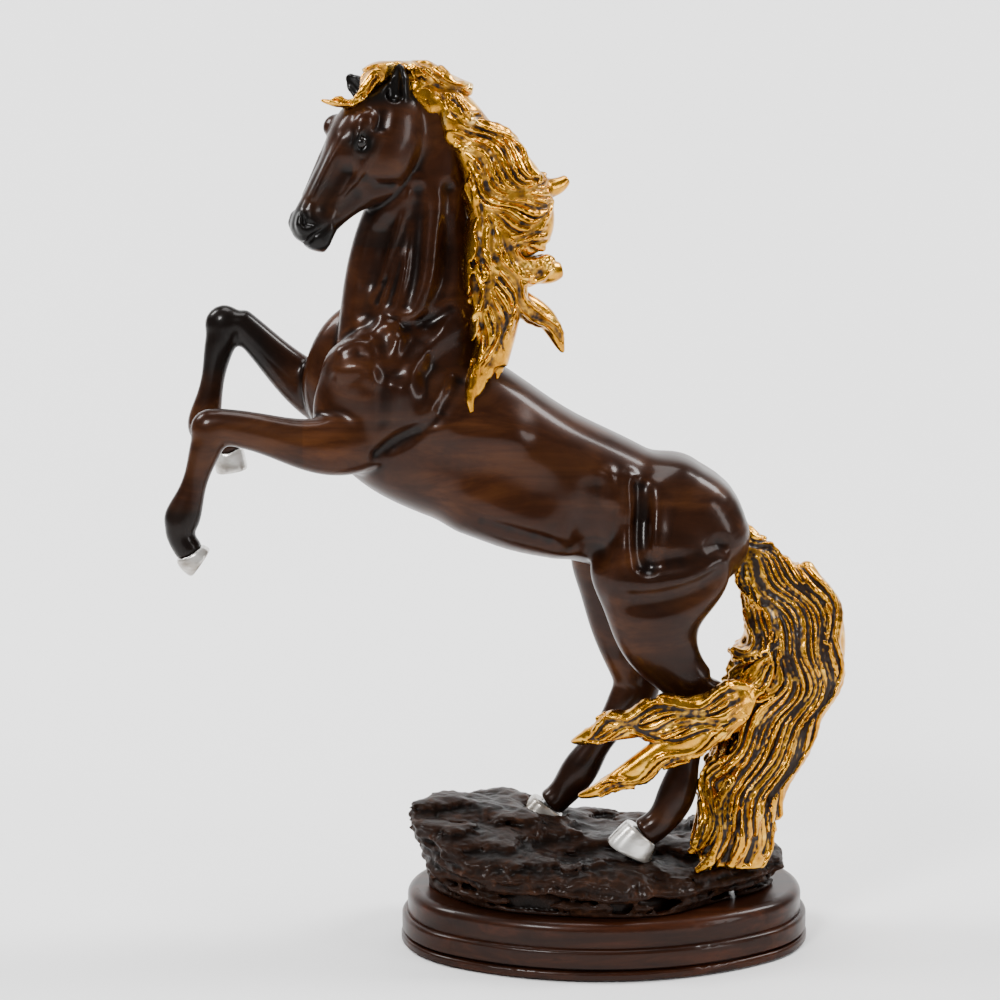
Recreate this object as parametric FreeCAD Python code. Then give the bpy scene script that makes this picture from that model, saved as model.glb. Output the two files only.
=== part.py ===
"""Rearing horse statue on a rock and an oval plinth, in millimetres.

Frame: +Z up, the origin at the centre of the felt pad's underside. The horse faces -X and its left side is -Y.
The figure is an assembly of hollow bronze castings brazed together on cut faces. Two steel studs under the hind
hooves and one under the tail pass through the cast rock and the plinth, and are held by nuts in counterbores.
"""

import FreeCAD
import Part
import math
import os

from FreeCAD import Vector

# Overall sizes
PLINTH_HALF_LENGTH = 93.0
PLINTH_HALF_DEPTH = 62.0
PLINTH_END_RADIUS = 48.0
FELT_THICKNESS = 1.2
FELT_INSET = 4.0
LIP_HEIGHT = 3.6
GROOVE_HEIGHT = 1.6
GROOVE_DEPTH = 1.3
LOWER_TIER_TOP = 14.5
UPPER_TIER_TOP = 26.0
UPPER_TIER_INSET = 3.0
UPPER_EDGE_RADIUS = 4.5
LOWER_EDGE_RADIUS = 2.0
LIP_RADIUS = 1.5

# Castings and fixings
SHELL_WALL = 3.6
ROCK_WALL = 4.5
ROCK_ROOF = 36.0
STUD_RADIUS = 2.5
STUD_CLEARANCE = 0.25
STUD_BOTTOM = 3.0
NUT_FLATS = 8.0
NUT_HEIGHT = 3.2
WASHER_RADIUS = 5.0
WASHER_HEIGHT = 1.0
COUNTERBORE_RADIUS = 6.2
COUNTERBORE_TOP = 7.5
SCREW_RADIUS = 2.0
SCREW_HEAD_RADIUS = 3.9
SCREW_HEAD_HEIGHT = 2.3
SCREW_LENGTH = 35.0
BOSS_RADIUS = 5.5
DOWEL_RADIUS = 1.5
EYE_RADIUS = 2.7
EYE_SPREAD = 11.6

# Directions
UP = Vector(0, 0, 1)
ACROSS = Vector(0, 1, 0)
HEAD_YAW = 20.0
HEAD_PITCH = 52.0
POLL = Vector(-88, -3, 388)

RING_POINTS = 16
EGG_SECTIONS = ((-1.0, 0.18), (-0.9, 0.44), (-0.6, 0.8), (0.0, 1.0), (0.6, 0.8), (0.9, 0.44), (1.0, 0.18))
LEFT = -1
RIGHT = 1


# ---------------------------------------------------------------- shapes

def ring(centre, up, across, depth, width, power=2.0):
    """A closed superelliptic curve, depth high along up and width wide along across."""
    points = []
    for i in range(RING_POINTS):
        angle = 2 * math.pi * i / RING_POINTS
        c = math.cos(angle)
        s = math.sin(angle)
        high = math.copysign(abs(c) ** (2 / power), c) * depth / 2
        wide = math.copysign(abs(s) ** (2 / power), s) * width / 2
        points.append(centre + up * high + across * wide)
    curve = Part.BSplineCurve()
    curve.interpolate(points, PeriodicFlag=True)
    return Part.Wire(curve.toShape())


def loft(wires):
    return Part.makeLoft(wires, True, False, False)


def limb(stations, across=ACROSS, power=2.0, shrink=0.0):
    """A smooth solid through elliptic sections, each (x, y, z, depth, width), square to the path through them."""
    centres = [Vector(*station[:3]) for station in stations]
    last = len(centres) - 1
    wires = []
    for i, station in enumerate(stations):
        along = (centres[min(i + 1, last)] - centres[max(i - 1, 0)]).normalize()
        side = (across - along * across.dot(along)).normalize()
        up = along.cross(side).normalize()
        depth = station[3] - 2 * shrink
        width = station[4] - 2 * shrink
        wires.append(ring(centres[i], up, side, depth, width, power))
    return loft(wires)


def egg(x, y, z, half_x, half_y, half_z, turn=0.0):
    """An egg-shaped solid of elliptic sections, turned by turn degrees about the across axis."""
    lean = math.radians(turn)
    stations = []
    for share, size in EGG_SECTIONS:
        reach = half_z * share
        stations.append((x + math.sin(lean) * reach, y, z + math.cos(lean) * reach,
                         2 * half_x * size, 2 * half_y * size))
    return limb(stations)


def joined(shapes):
    """One solid from overlapping solids."""
    whole = shapes[0].multiFuse(shapes[1:])
    return biggest(whole.removeSplitter())


def biggest(shape):
    """The largest solid of a shape, without the crumbs that a cut may leave."""
    return max(shape.Solids, key=lambda solid: solid.Volume)


def without(shape, *tools):
    """The shape less its neighbours, so that they meet face to face."""
    for tool in tools:
        shape = shape.cut(tool)
    return biggest(shape)


# ---------------------------------------------------------------- plinth

def oval(half_length, half_depth, end_radius, z):
    """An oval of four tangent arcs, flat at height z."""
    reach = half_length - end_radius
    side_radius = (reach ** 2 + half_depth ** 2 - end_radius ** 2) / (2 * (half_depth - end_radius))
    drop = side_radius - half_depth
    lean = math.atan2(drop, reach)
    join_x = reach + end_radius * math.cos(lean)
    join_y = end_radius * math.sin(lean)

    def at(x, y):
        return Vector(x, y, z)

    arcs = [
        Part.Arc(at(join_x, -join_y), at(half_length, 0), at(join_x, join_y)),
        Part.Arc(at(join_x, join_y), at(0, half_depth), at(-join_x, join_y)),
        Part.Arc(at(-join_x, join_y), at(-half_length, 0), at(-join_x, -join_y)),
        Part.Arc(at(-join_x, -join_y), at(0, -half_depth), at(join_x, -join_y)),
    ]
    return Part.Wire([arc.toShape() for arc in arcs])


def oval_slab(inset, bottom, top):
    """A slab with the plinth's outline drawn in by inset."""
    outline = oval(PLINTH_HALF_LENGTH - inset, PLINTH_HALF_DEPTH - inset, PLINTH_END_RADIUS - inset, bottom)
    return Part.Face(outline).extrude(UP * (top - bottom))


def round_edges(slab, radius, z):
    """The slab with its outline edges at height z rounded."""
    edges = []
    for edge in slab.Edges:
        box = edge.BoundBox
        if abs(box.ZMin - z) < 1e-6 and abs(box.ZMax - z) < 1e-6:
            edges.append(edge)
    return slab.makeFillet(radius, edges)


def plinth_lower_tier():
    lip_top = FELT_THICKNESS + LIP_HEIGHT
    groove_top = lip_top + GROOVE_HEIGHT
    lip = round_edges(oval_slab(0, FELT_THICKNESS, lip_top), LIP_RADIUS, lip_top)
    neck = oval_slab(GROOVE_DEPTH + LIP_RADIUS, lip_top - 0.5, groove_top + 0.5)
    side = round_edges(oval_slab(0.4, groove_top, LOWER_TIER_TOP), LOWER_EDGE_RADIUS, LOWER_TIER_TOP)
    return joined([lip, neck, side])


def plinth_upper_tier():
    slab = oval_slab(UPPER_TIER_INSET, LOWER_TIER_TOP, UPPER_TIER_TOP)
    return round_edges(slab, UPPER_EDGE_RADIUS, UPPER_TIER_TOP)


def felt_pad():
    return oval_slab(FELT_INSET, 0, FELT_THICKNESS)


# ---------------------------------------------------------------- rock

# Each ring of the rock: middle along X, half length, half depth, height, rise of the crest at the back and left.
ROCK_RINGS = [
    (-2.5, 77.5, 51, UPPER_TIER_TOP, 0),
    (-3, 81, 54, 33, 3),
    (-4.5, 84, 54, 41, 12),
    (-7, 83, 47, 45, 18),
    (-5, 65, 36, 47, 17),
    (-2, 40, 22, 47, 13),
    (0, 14, 9, 49.5, 0),
]
CREST_DIRECTION = math.radians(165)
LUMP_WAVES = ((3, 2.2, 0.4), (5, 1.6, 2.1), (7, 1.1, 4.0))


def rock_ring(middle, half_length, half_depth, height, rise, level, inset=0.0):
    """One uneven ring. Lumps swell and sink around it, and shift a little from ring to ring."""
    points = []
    count = 28
    for i in range(count):
        angle = 2 * math.pi * i / count
        lump = sum(size * math.sin(waves * angle + shift + 0.5 * level) for waves, size, shift in LUMP_WAVES)
        reach = 1 + lump / 60
        x = middle + (half_length * reach - inset) * math.cos(angle)
        y = (half_depth * reach - inset) * math.sin(angle)
        crest = max(0.0, math.cos(angle - CREST_DIRECTION)) ** 1.5
        lift = rise * crest + 0.5 * lump if rise else 0.0
        points.append(Vector(x, y, height + lift))
    curve = Part.BSplineCurve()
    curve.interpolate(points, PeriodicFlag=True)
    return Part.Wire(curve.toShape())


def rock_form():
    return loft([rock_ring(*sizes, level) for level, sizes in enumerate(ROCK_RINGS)])


def rock_hollow():
    """The open space under the rock casting, which leaves its wall and the pads under the hooves."""
    base = rock_ring(*ROCK_RINGS[0], 0, inset=ROCK_WALL)
    shoulder = rock_ring(*ROCK_RINGS[1][:4], 0, 0, inset=ROCK_WALL)
    roof = rock_ring(*ROCK_RINGS[2][:3], ROCK_ROOF, 0, 0, inset=3 * ROCK_WALL)
    hollow = loft([base, shoulder, roof])
    posts = [disc(x, y, UPPER_TIER_TOP - 1, ROCK_ROOF + 2, BOSS_RADIUS) for x, y in SCREW_PLACES]
    for x, y, top in (LEFT_STUD, RIGHT_STUD, TAIL_STUD):
        posts.append(disc(x, y, UPPER_TIER_TOP - 1, ROCK_ROOF + 2, 2 * STUD_RADIUS))
    for post in posts:
        hollow = hollow.cut(post)
    return hollow


# ---------------------------------------------------------------- body

# Sections are (x, y, z, depth, width).
TORSO = [
    (-125, 0, 258, 24, 24),
    (-117, 0, 255, 46, 40),
    (-103, 0, 248, 64, 50),
    (-78, 0, 238, 76, 56),
    (-52, 0, 225, 72, 58),
    (-28, 0, 213, 66, 58),
    (-5, 0, 205, 60, 55),
    (14, 0, 197, 56, 54),
    (33, 0, 187, 52, 55),
    (48, 0, 178, 38, 44),
    (56, 0, 172, 18, 24),
]
NECK = [
    (-85, 0, 252, 70, 40),
    (-85, 0, 270, 70, 40),
    (-85.5, 0, 287, 66, 36),
    (-86, 0, 308, 58, 30),
    (-84, 0, 330, 47, 26),
    (-79, -1, 352, 34, 22),
    (-77, -2, 370, 28, 19),
    (-81, -3, 385, 18, 16),
]
# Head sections: distance from the poll, top, bottom, width.
HEAD = [
    (1, 7.5, -12, 15),
    (7, 10.5, -14, 19),
    (14, 13.5, -16, 22),
    (26, 16.5, -25.8, 27),
    (36, 15.9, -26.3, 28),
    (46, 12.5, -22.8, 22.5),
    (56, 10.6, -16.6, 17),
    (66, 8.9, -13.1, 15),
    (74, 7.7, -12.2, 15.5),
    (79, 6.1, -13.6, 14),
    (83, 2.5, -13, 10),
]
FOREARM_LEFT = [
    (-99, -14, 244, 30, 17),
    (-112, -21, 236, 31, 21),
    (-130, -25, 233.5, 24, 18),
    (-148, -26, 238, 18.5, 15),
    (-163, -26, 241.5, 16.5, 13.5),
    (-172, -26, 243, 15, 13),
]
CANNON_LEFT = [
    (-174.5, -26, 247, 9, 10),
    (-174, -26, 240, 14.5, 13),
    (-178, -26, 228, 13, 11.5),
    (-183, -26, 213, 12.5, 10.5),
    (-187, -26, 202.5, 16, 13),
    (-188.5, -26, 196, 11.5, 12.5),
]
PASTERN_LEFT = [
    (-189, -26, 200, 11, 12),
    (-188, -26, 193.5, 11.5, 12.5),
    (-185.3, -26, 189.4, 12.5, 13),
    (-183.6, -26, 186.2, 12.6, 13.4),
]
HOOF_LEFT = [
    (-184.8, -26, 188, 13.4, 13.6),
    (-182.7, -26, 184.8, 14.6, 14.8),
    (-179.2, -26, 182.3, 14.8, 15.4),
]
FOREARM_RIGHT = [
    (-100, 14, 246, 36, 20),
    (-114, 21, 246, 34, 21),
    (-129, 25, 250, 26, 18),
    (-144.5, 26, 262, 19, 15),
    (-157, 26, 275, 15, 13.5),
    (-165, 26, 283, 13, 12.5),
]
CANNON_RIGHT = [
    (-169.5, 26, 287, 9, 9),
    (-170, 26, 279, 14.5, 13),
    (-174, 26, 264, 12.2, 11.5),
    (-176.8, 26, 250, 11.6, 10.5),
    (-180, 26, 236, 15, 13),
    (-180, 26, 229, 12, 12.5),
]
PASTERN_RIGHT = [
    (-181, 26, 232.5, 11, 12),
    (-176.5, 26, 229.5, 11.5, 12.5),
    (-171, 26, 227, 12, 12.5),
    (-168.8, 26, 222, 13, 13.4),
]
HOOF_RIGHT = [
    (-169.6, 26, 226.5, 12.6, 13.2),
    (-168.8, 26, 220, 14, 14.6),
    (-167.8, 26, 213.4, 14.6, 15.4),
]
THIGH_LEFT = [
    (22, -13, 203, 34, 20),
    (22, -18, 190, 52, 26),
    (22, -20, 174, 62, 29),
    (21, -21, 158, 48, 27),
    (22, -20, 145, 37, 22),
    (28, -19, 133, 28, 17),
    (37, -18.5, 122, 24, 14),
]
SHANK_LEFT = [
    (44, -18.5, 126, 14, 9),
    (42, -18.5, 118, 21, 13.5),
    (38.5, -19, 104, 15.5, 12),
    (34, -20, 86, 13.5, 11),
    (29, -21, 70, 17, 14),
    (24, -21.5, 62, 14.5, 13),
    (15, -22, 55.5, 15, 14.5),
]
HOOF_HIND_LEFT = [
    (15.2, -22, 56.6, 17, 16),
    (11.5, -22, 51.6, 19.5, 17.5),
    (9, -22, 46.6, 23, 19),
]
THIGH_RIGHT = [
    (18, 13, 203, 34, 20),
    (16, 18, 190, 50, 26),
    (14, 20, 172, 58, 29),
    (13, 21, 156, 47, 27),
    (13, 20, 142, 38, 22),
    (14, 19, 128, 28, 17),
    (17, 19, 116, 23, 14),
]
SHANK_RIGHT = [
    (20, 19, 121, 14, 9),
    (16, 19, 112, 21.5, 13.5),
    (7, 19, 98, 16, 12),
    (-3, 20, 84, 14, 11),
    (-12, 20.5, 70, 17, 14),
    (-17, 21, 63, 14.5, 13),
    (-24, 21, 56.5, 15, 14.5),
]
HOOF_HIND_RIGHT = [
    (-24.2, 21, 56.6, 17, 16),
    (-28, 21, 51, 19.5, 17.5),
    (-31, 21, 46, 23, 19),
]


# Ears: root and tip, then share of the way to the tip, depth and width.
EAR_LEFT = ((-91, -10, 379), (-91.5, -10.5, 397))
EAR_RIGHT = ((-104.5, 4, 381), (-114, 7, 391.8))
EAR_SIZES = ((0, 5.5, 5.5), (0.35, 6.5, 8.5), (0.7, 5, 7), (0.92, 2.4, 3.4), (1.0, 0.9, 1.1))


# Shoulder muscles: centre, half sizes and turn.
SHOULDERS = [
    ((-103, -15, 252), (26, 14, 34), 22),
    ((-109, 15, 260), (25, 14, 34), 18),
]


def torso_form():
    """The trunk with its shoulders, before it is hollowed."""
    muscles = [egg(*centre, *halves, turn) for centre, halves, turn in SHOULDERS]
    return joined([limb(TORSO, power=2.1)] + muscles)


def head_point(ahead, above, aside=0.0):
    """A point of the head: ahead of the poll along the face, above its axis, and aside to its right."""
    yaw = math.radians(HEAD_YAW)
    pitch = math.radians(HEAD_PITCH)
    facing = Vector(-math.cos(yaw), -math.sin(yaw), 0)
    right = Vector(-math.sin(yaw), math.cos(yaw), 0)
    axis = facing * math.cos(pitch) - UP * math.sin(pitch)
    crown = facing * math.sin(pitch) + UP * math.cos(pitch)
    return POLL + axis * ahead + crown * above + right * aside


def head_directions():
    origin = head_point(0, 0)
    crown = head_point(0, 1) - origin
    right = head_point(0, 0, 1) - origin
    return crown, right


def head():
    crown, right = head_directions()
    wires = []
    for ahead, top, bottom, width in HEAD:
        wires.append(ring(head_point(ahead, (top + bottom) / 2), crown, right, top - bottom, width, 2.3))
    return loft(wires)


def ear(root, tip):
    """A leaf-shaped ear."""
    crown, right = head_directions()
    reach = Vector(*tip) - Vector(*root)
    stations = []
    for share, depth, width in EAR_SIZES:
        centre = Vector(*root) + reach * share
        stations.append((centre.x, centre.y, centre.z, depth, width))
    return limb(stations, across=right)


def eye(side):
    centre = head_point(34.8, 5.2, EYE_SPREAD * side)
    return Part.makeSphere(EYE_RADIUS, centre)


# ---------------------------------------------------------------- hair

FORELOCK = [
    (-91, -4, 394, 5, 12),
    (-100, -8, 392.5, 8, 16),
    (-108, -12, 386, 8, 15),
    (-114, -14, 380.5, 6, 11),
    (-120, -15, 380, 4, 7),
    (-126, -16, 381.4, 2, 3),
]
POLL_LOCK = [
    (-98, -2, 392, 4, 12),
    (-88, -1, 394, 8, 20),
    (-76, 0, 390, 10, 22),
    (-66, 1, 386, 9, 18),
    (-59, 1, 385, 6, 10),
]
MANE_UPPER = [
    (-78, -2, 386, 12, 14),
    (-68, -3, 377, 18, 19),
    (-58, -4, 366, 18, 20),
    (-48, -3, 364, 10, 16),
    (-42, -2, 366, 5, 6),
]
MANE_MIDDLE = [
    (-68, -4, 372, 12, 14),
    (-58, -7, 359, 22, 20),
    (-46, -8, 343.5, 34, 24),
    (-42, -8, 330, 36, 24),
    (-46, -8, 316, 20, 20),
]
MANE_MIDDLE_FLICK = [
    (-48, -6, 349, 14, 16),
    (-34, -4, 343.5, 11, 14),
    (-24, -2, 343, 9, 10),
    (-18, -1, 347, 5, 6),
]
MANE_LOWER = [
    (-46, -9, 330, 26, 18),
    (-50, -12, 312, 26, 20),
    (-50, -14, 296, 24, 20),
    (-50, -16, 280, 18, 18),
    (-50, -18, 266, 10, 12),
]
MANE_LOWER_FLICK = [
    (-46, -10, 316, 16, 16),
    (-34, -8, 308, 13, 13),
    (-25, -6, 306.5, 11, 10),
    (-20.5, -5, 307.5, 7, 5),
]
MANE_DROP_LOCK = [
    (-48, -12, 302, 16, 14),
    (-38, -10, 293, 12, 12),
    (-28, -8, 286, 10, 10),
    (-22, -7, 275, 6, 6),
    (-20, -7, 270, 2, 2),
]
MANE_POINT_LOCK = [
    (-52, -17, 285, 14, 10),
    (-56, -20, 268, 13, 9),
    (-61, -23, 256, 9, 7),
    (-64, -24, 248, 3, 3),
]
TAIL_FALL = [
    (50, 0, 188, 12, 12),
    (61, -1, 180, 16, 16),
    (73, -2, 168, 26, 20),
    (83.5, -4, 154, 41, 26),
    (83.5, -8, 138, 49, 30),
    (77.5, -12, 120, 48, 32),
    (69.5, -16, 102, 44, 30),
    (63, -20, 84, 40, 28),
    (58, -23, 66, 36, 26),
    (55, -25, 51, 36, 24),
    (54, -25, 42, 35, 24),
]
# The core of the tail ends above the stud that holds it.
TAIL_CORE_END = 8
TAIL_SWEEP = [
    (78, -22, 124, 22, 14),
    (62, -29, 118, 22, 13),
    (44, -34, 110, 20, 11),
    (26, -36, 100, 15, 10),
    (10, -36, 90, 11, 9),
    (-4, -35, 81, 8, 8),
    (-15, -31, 76, 3, 4),
]
TAIL_FRONT = [
    (44, -33, 119, 10, 8),
    (28, -36, 115, 14, 10),
    (12, -36, 111, 15, 10),
    (-4, -33, 106, 11, 9),
    (-14, -28, 101, 6, 6),
    (-18, -24, 99, 2, 2),
]


# ---------------------------------------------------------------- fixings

# Studs: x, y and top. Screws: x and y.
LEFT_STUD = (13, -22, 57)
RIGHT_STUD = (-26, 21, 58)
TAIL_STUD = (55, -25, 78)
SCREW_PLACES = [(-58, -20), (-58, 20), (56, 18), (34, -34)]


def disc(x, y, bottom, top, radius):
    return Part.makeCylinder(radius, top - bottom, Vector(x, y, bottom))


def stud(x, y, top):
    return disc(x, y, STUD_BOTTOM, top, STUD_RADIUS)


def nut(x, y):
    corner = NUT_FLATS / math.sqrt(3)
    corners = []
    for i in range(7):
        angle = math.radians(60 * i)
        corners.append(Vector(x + corner * math.cos(angle), y + corner * math.sin(angle), nut_bottom()))
    body = Part.Face(Part.makePolygon(corners)).extrude(UP * NUT_HEIGHT)
    return body.cut(disc(x, y, nut_bottom(), washer_bottom(), STUD_RADIUS))


def washer(x, y):
    ring_shape = disc(x, y, washer_bottom(), COUNTERBORE_TOP, WASHER_RADIUS)
    return ring_shape.cut(disc(x, y, washer_bottom(), COUNTERBORE_TOP, STUD_RADIUS + STUD_CLEARANCE))


def washer_bottom():
    return COUNTERBORE_TOP - WASHER_HEIGHT


def nut_bottom():
    return washer_bottom() - NUT_HEIGHT


def plinth_screw(x, y):
    """A countersunk screw, driven up through both tiers into a boss of the rock."""
    head_top = FELT_THICKNESS + SCREW_HEAD_HEIGHT
    cone = Part.makeCone(SCREW_HEAD_RADIUS, SCREW_RADIUS, SCREW_HEAD_HEIGHT, Vector(x, y, FELT_THICKNESS))
    shank = disc(x, y, head_top, FELT_THICKNESS + SCREW_LENGTH, SCREW_RADIUS)
    return cone.fuse(shank).removeSplitter()


def foreleg_dowel(start, end):
    first = Vector(*start)
    heading = Vector(*end) - first
    return Part.makeCylinder(DOWEL_RADIUS, heading.Length, first, heading)


# ---------------------------------------------------------------- assembly

def foreleg(forearm, cannon, pastern, torso):
    knee_x, knee_y, knee_z = cannon[1][:3]
    knee = egg(knee_x, knee_y, knee_z + 1, 9, 6.8, 9.2)
    whole = joined([limb(forearm), knee, limb(cannon), limb(pastern)])
    return without(whole, torso)


def hind_leg(thigh, shank, torso):
    return without(joined([limb(thigh), limb(shank)]), torso)


def add_body(nodes):
    """The torso, neck, head, eyes, ears and legs, each cut to seat on the one before it."""
    torso_solid = torso_form()
    neck_solid = limb(NECK)
    neck_outer = without(neck_solid, torso_solid)
    neck_inner = limb(NECK[:-1], shrink=SHELL_WALL)
    torso_inner = limb(TORSO[1:-1], power=2.1, shrink=SHELL_WALL)
    head_solid = without(head(), neck_solid)
    nodes["torso_shell"] = without(torso_solid, torso_inner)
    nodes["neck_shell"] = without(neck_outer, neck_inner)
    nodes["head"] = head_solid
    for name, side, ends in (("left", LEFT, EAR_LEFT), ("right", RIGHT, EAR_RIGHT)):
        nodes[name + "_eye"] = eye(side)
        nodes[name + "_ear"] = without(ear(*ends), head_solid, neck_solid)
        nodes["head"] = without(nodes["head"], nodes[name + "_eye"])

    left_stud = stud(*LEFT_STUD)
    right_stud = stud(*RIGHT_STUD)
    left_dowel = foreleg_dowel((-94, -13, 243), (-124, -24, 234))
    right_dowel = foreleg_dowel((-96, 12, 244), (-124, 23, 248))

    left_foreleg = foreleg(FOREARM_LEFT, CANNON_LEFT, PASTERN_LEFT, torso_solid)
    right_foreleg = foreleg(FOREARM_RIGHT, CANNON_RIGHT, PASTERN_RIGHT, torso_solid)
    nodes["left_foreleg"] = without(left_foreleg, left_dowel)
    nodes["right_foreleg"] = without(right_foreleg, right_dowel)
    nodes["left_fore_hoof"] = without(limb(HOOF_LEFT, power=2.4), left_foreleg)
    nodes["right_fore_hoof"] = without(limb(HOOF_RIGHT, power=2.4), right_foreleg)

    left_hind = hind_leg(THIGH_LEFT, SHANK_LEFT, torso_solid)
    right_hind = without(hind_leg(THIGH_RIGHT, SHANK_RIGHT, torso_solid), left_hind)
    left_core = limb(THIGH_LEFT[:-1], shrink=SHELL_WALL)
    right_core = limb(THIGH_RIGHT[:-1], shrink=SHELL_WALL)
    nodes["left_hind_leg"] = without(left_hind, left_core, left_stud)
    nodes["right_hind_leg"] = without(right_hind, right_core, right_stud)
    nodes["left_hind_hoof"] = without(limb(HOOF_HIND_LEFT, power=2.4), left_hind, left_stud)
    nodes["right_hind_hoof"] = without(limb(HOOF_HIND_RIGHT, power=2.4), right_hind, right_stud)

    nodes["torso_shell"] = without(nodes["torso_shell"], left_dowel, right_dowel)
    nodes["foreleg_dowels"] = Part.makeCompound([left_dowel, right_dowel])
    nodes["hoof_studs"] = Part.makeCompound([left_stud, right_stud])
    return {"torso": torso_solid, "neck": neck_solid, "left_hind": left_hind, "right_hind": right_hind}


def add_ground(nodes, solid):
    """The rock, the plinth's two tiers and the felt, bored for the studs and the screws."""
    studs = [stud(*place) for place in (LEFT_STUD, RIGHT_STUD, TAIL_STUD)]
    screws = [plinth_screw(x, y) for x, y in SCREW_PLACES]
    places = [place[:2] for place in (LEFT_STUD, RIGHT_STUD, TAIL_STUD)]
    bores = [disc(x, y, FELT_THICKNESS, COUNTERBORE_TOP, COUNTERBORE_RADIUS) for x, y in places]
    feet = [nodes["left_hind_hoof"], nodes["right_hind_hoof"], solid["left_hind"], solid["right_hind"]]
    fixings = studs + screws
    nodes["rock_ground"] = without(rock_form(), rock_hollow(), *feet, *fixings)
    nodes["plinth_upper_tier"] = without(plinth_upper_tier(), *fixings)
    nodes["plinth_lower_tier"] = without(plinth_lower_tier(), *fixings, *bores)
    nodes["felt_pad"] = felt_pad()
    nodes["tail_stud"] = studs[-1]
    nodes["plinth_screws"] = Part.makeCompound(screws)
    nodes["fixing_nuts"] = Part.makeCompound([nut(x, y) for x, y in places])
    nodes["fixing_washers"] = Part.makeCompound([washer(x, y) for x, y in places])


def add_hair(nodes, solid):
    """The forelock, mane and tail, laid on last and cut to sit on whatever they cover."""
    skin = [solid["torso"], solid["neck"], nodes["head"], nodes["left_ear"], nodes["right_ear"]]
    nodes["forelock"] = without(limb(FORELOCK), *skin)
    done = [nodes["forelock"]]
    sections = (
        ("mane_crest", [POLL_LOCK]),
        ("mane_upper", [MANE_UPPER]),
        ("mane_middle", [MANE_MIDDLE, MANE_MIDDLE_FLICK]),
        ("mane_lower", [MANE_LOWER, MANE_LOWER_FLICK, MANE_DROP_LOCK, MANE_POINT_LOCK]),
    )
    for name, locks in sections:
        mass = joined([limb(lock) for lock in locks]) if len(locks) > 1 else limb(locks[0])
        nodes[name] = without(mass, *skin, *done)
        done.append(nodes[name])

    legs = [solid["torso"], solid["left_hind"], solid["right_hind"], nodes["rock_ground"], nodes["tail_stud"]]
    fall = without(limb(TAIL_FALL), *legs)
    core = limb(TAIL_FALL[:TAIL_CORE_END], shrink=SHELL_WALL)
    sweep = joined([limb(TAIL_SWEEP), limb(TAIL_FRONT)])
    nodes["tail_fall"] = without(fall, core)
    nodes["tail_sweep"] = without(sweep, *legs, fall)


def build():
    """Every node's shape by name."""
    nodes = {}
    solid = add_body(nodes)
    add_ground(nodes, solid)
    add_hair(nodes, solid)
    return nodes


def main():
    os.makedirs("parts", exist_ok=True)
    for name, shape in build().items():
        box = shape.BoundBox
        size = f"{box.XLength:.1f} x {box.YLength:.1f} x {box.ZLength:.1f}"
        print(f"{name:20} {shape.isValid()} {len(shape.Solids)} {shape.Volume / 1000:8.2f} cm3 {size}")
        shape.exportStep(f"parts/{name}.step")


main()
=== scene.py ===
"""The looks of the rearing horse statue: its sculpted skin, hair, rock, plinth, light and camera."""
import math

import bpy
import numpy as np
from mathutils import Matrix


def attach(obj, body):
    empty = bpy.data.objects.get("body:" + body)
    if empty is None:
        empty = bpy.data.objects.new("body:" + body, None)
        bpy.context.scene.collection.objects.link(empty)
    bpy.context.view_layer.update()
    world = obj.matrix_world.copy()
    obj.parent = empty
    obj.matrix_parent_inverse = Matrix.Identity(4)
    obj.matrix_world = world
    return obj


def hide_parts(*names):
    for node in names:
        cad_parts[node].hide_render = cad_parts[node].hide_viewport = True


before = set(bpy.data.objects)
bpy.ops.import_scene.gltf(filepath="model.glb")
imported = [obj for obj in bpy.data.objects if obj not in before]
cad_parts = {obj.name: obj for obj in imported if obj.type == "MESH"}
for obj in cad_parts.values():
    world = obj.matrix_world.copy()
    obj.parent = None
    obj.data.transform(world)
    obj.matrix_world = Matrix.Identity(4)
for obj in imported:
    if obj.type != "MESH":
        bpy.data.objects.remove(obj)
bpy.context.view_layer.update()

import openvdb
from mathutils import Vector

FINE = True
BOTH = (-1, 1)

# Millimetres. The steps are the sides of the grid cells that each part is sculpted in.
FAR = 12.0
SEAL = 1.2
SKIN_STEP = 0.8 if FINE else 1.5
HAIR_STEP = 0.55 if FINE else 1.1
ROCK_STEP = 0.9 if FINE else 1.6
HOOF_STEP = 0.5 if FINE else 1.0
HAIR_REACH = 5.0
RELIEF_REACH = 2.0
BOX_MARGIN = 3.0
FEWEST_QUADS = 400


# ------------------------------------------------------------------ clay

def smooth_min(a, b, blend):
    """The lesser of two distances, rounded where they are within blend of each other."""
    gap = np.maximum(blend - np.abs(a - b), 0.0) / blend
    return np.minimum(a, b) - gap * gap * blend * 0.25


def sheets_of(points, quads):
    """Which connected surface each quad belongs to, and how many quads that surface has."""
    label = np.arange(len(points))
    while True:
        lowest = label[quads].min(axis=1)
        joined = label.copy()
        np.minimum.at(joined, quads.ravel(), np.repeat(lowest, 4))
        joined = joined[joined]
        if np.array_equal(joined, label):
            break
        label = joined
    names, sheet, counts = np.unique(label[quads[:, 0]], return_inverse=True, return_counts=True)
    return sheet, counts


def outer_quads(points, quads):
    """The quads of the outermost closed surface, without the walls of any hollow inside it."""
    sheet, counts = sheets_of(points, quads)
    return quads[sheet == np.argmax(counts)]


def without_crumbs(points, quads):
    """The surfaces big enough to be part of the casting, and only the points they use."""
    sheet, counts = sheets_of(points, quads)
    quads = quads[counts[sheet] >= FEWEST_QUADS]
    used, quads = np.unique(quads, return_inverse=True)
    return points[used], quads.reshape(-1, 4)


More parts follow.
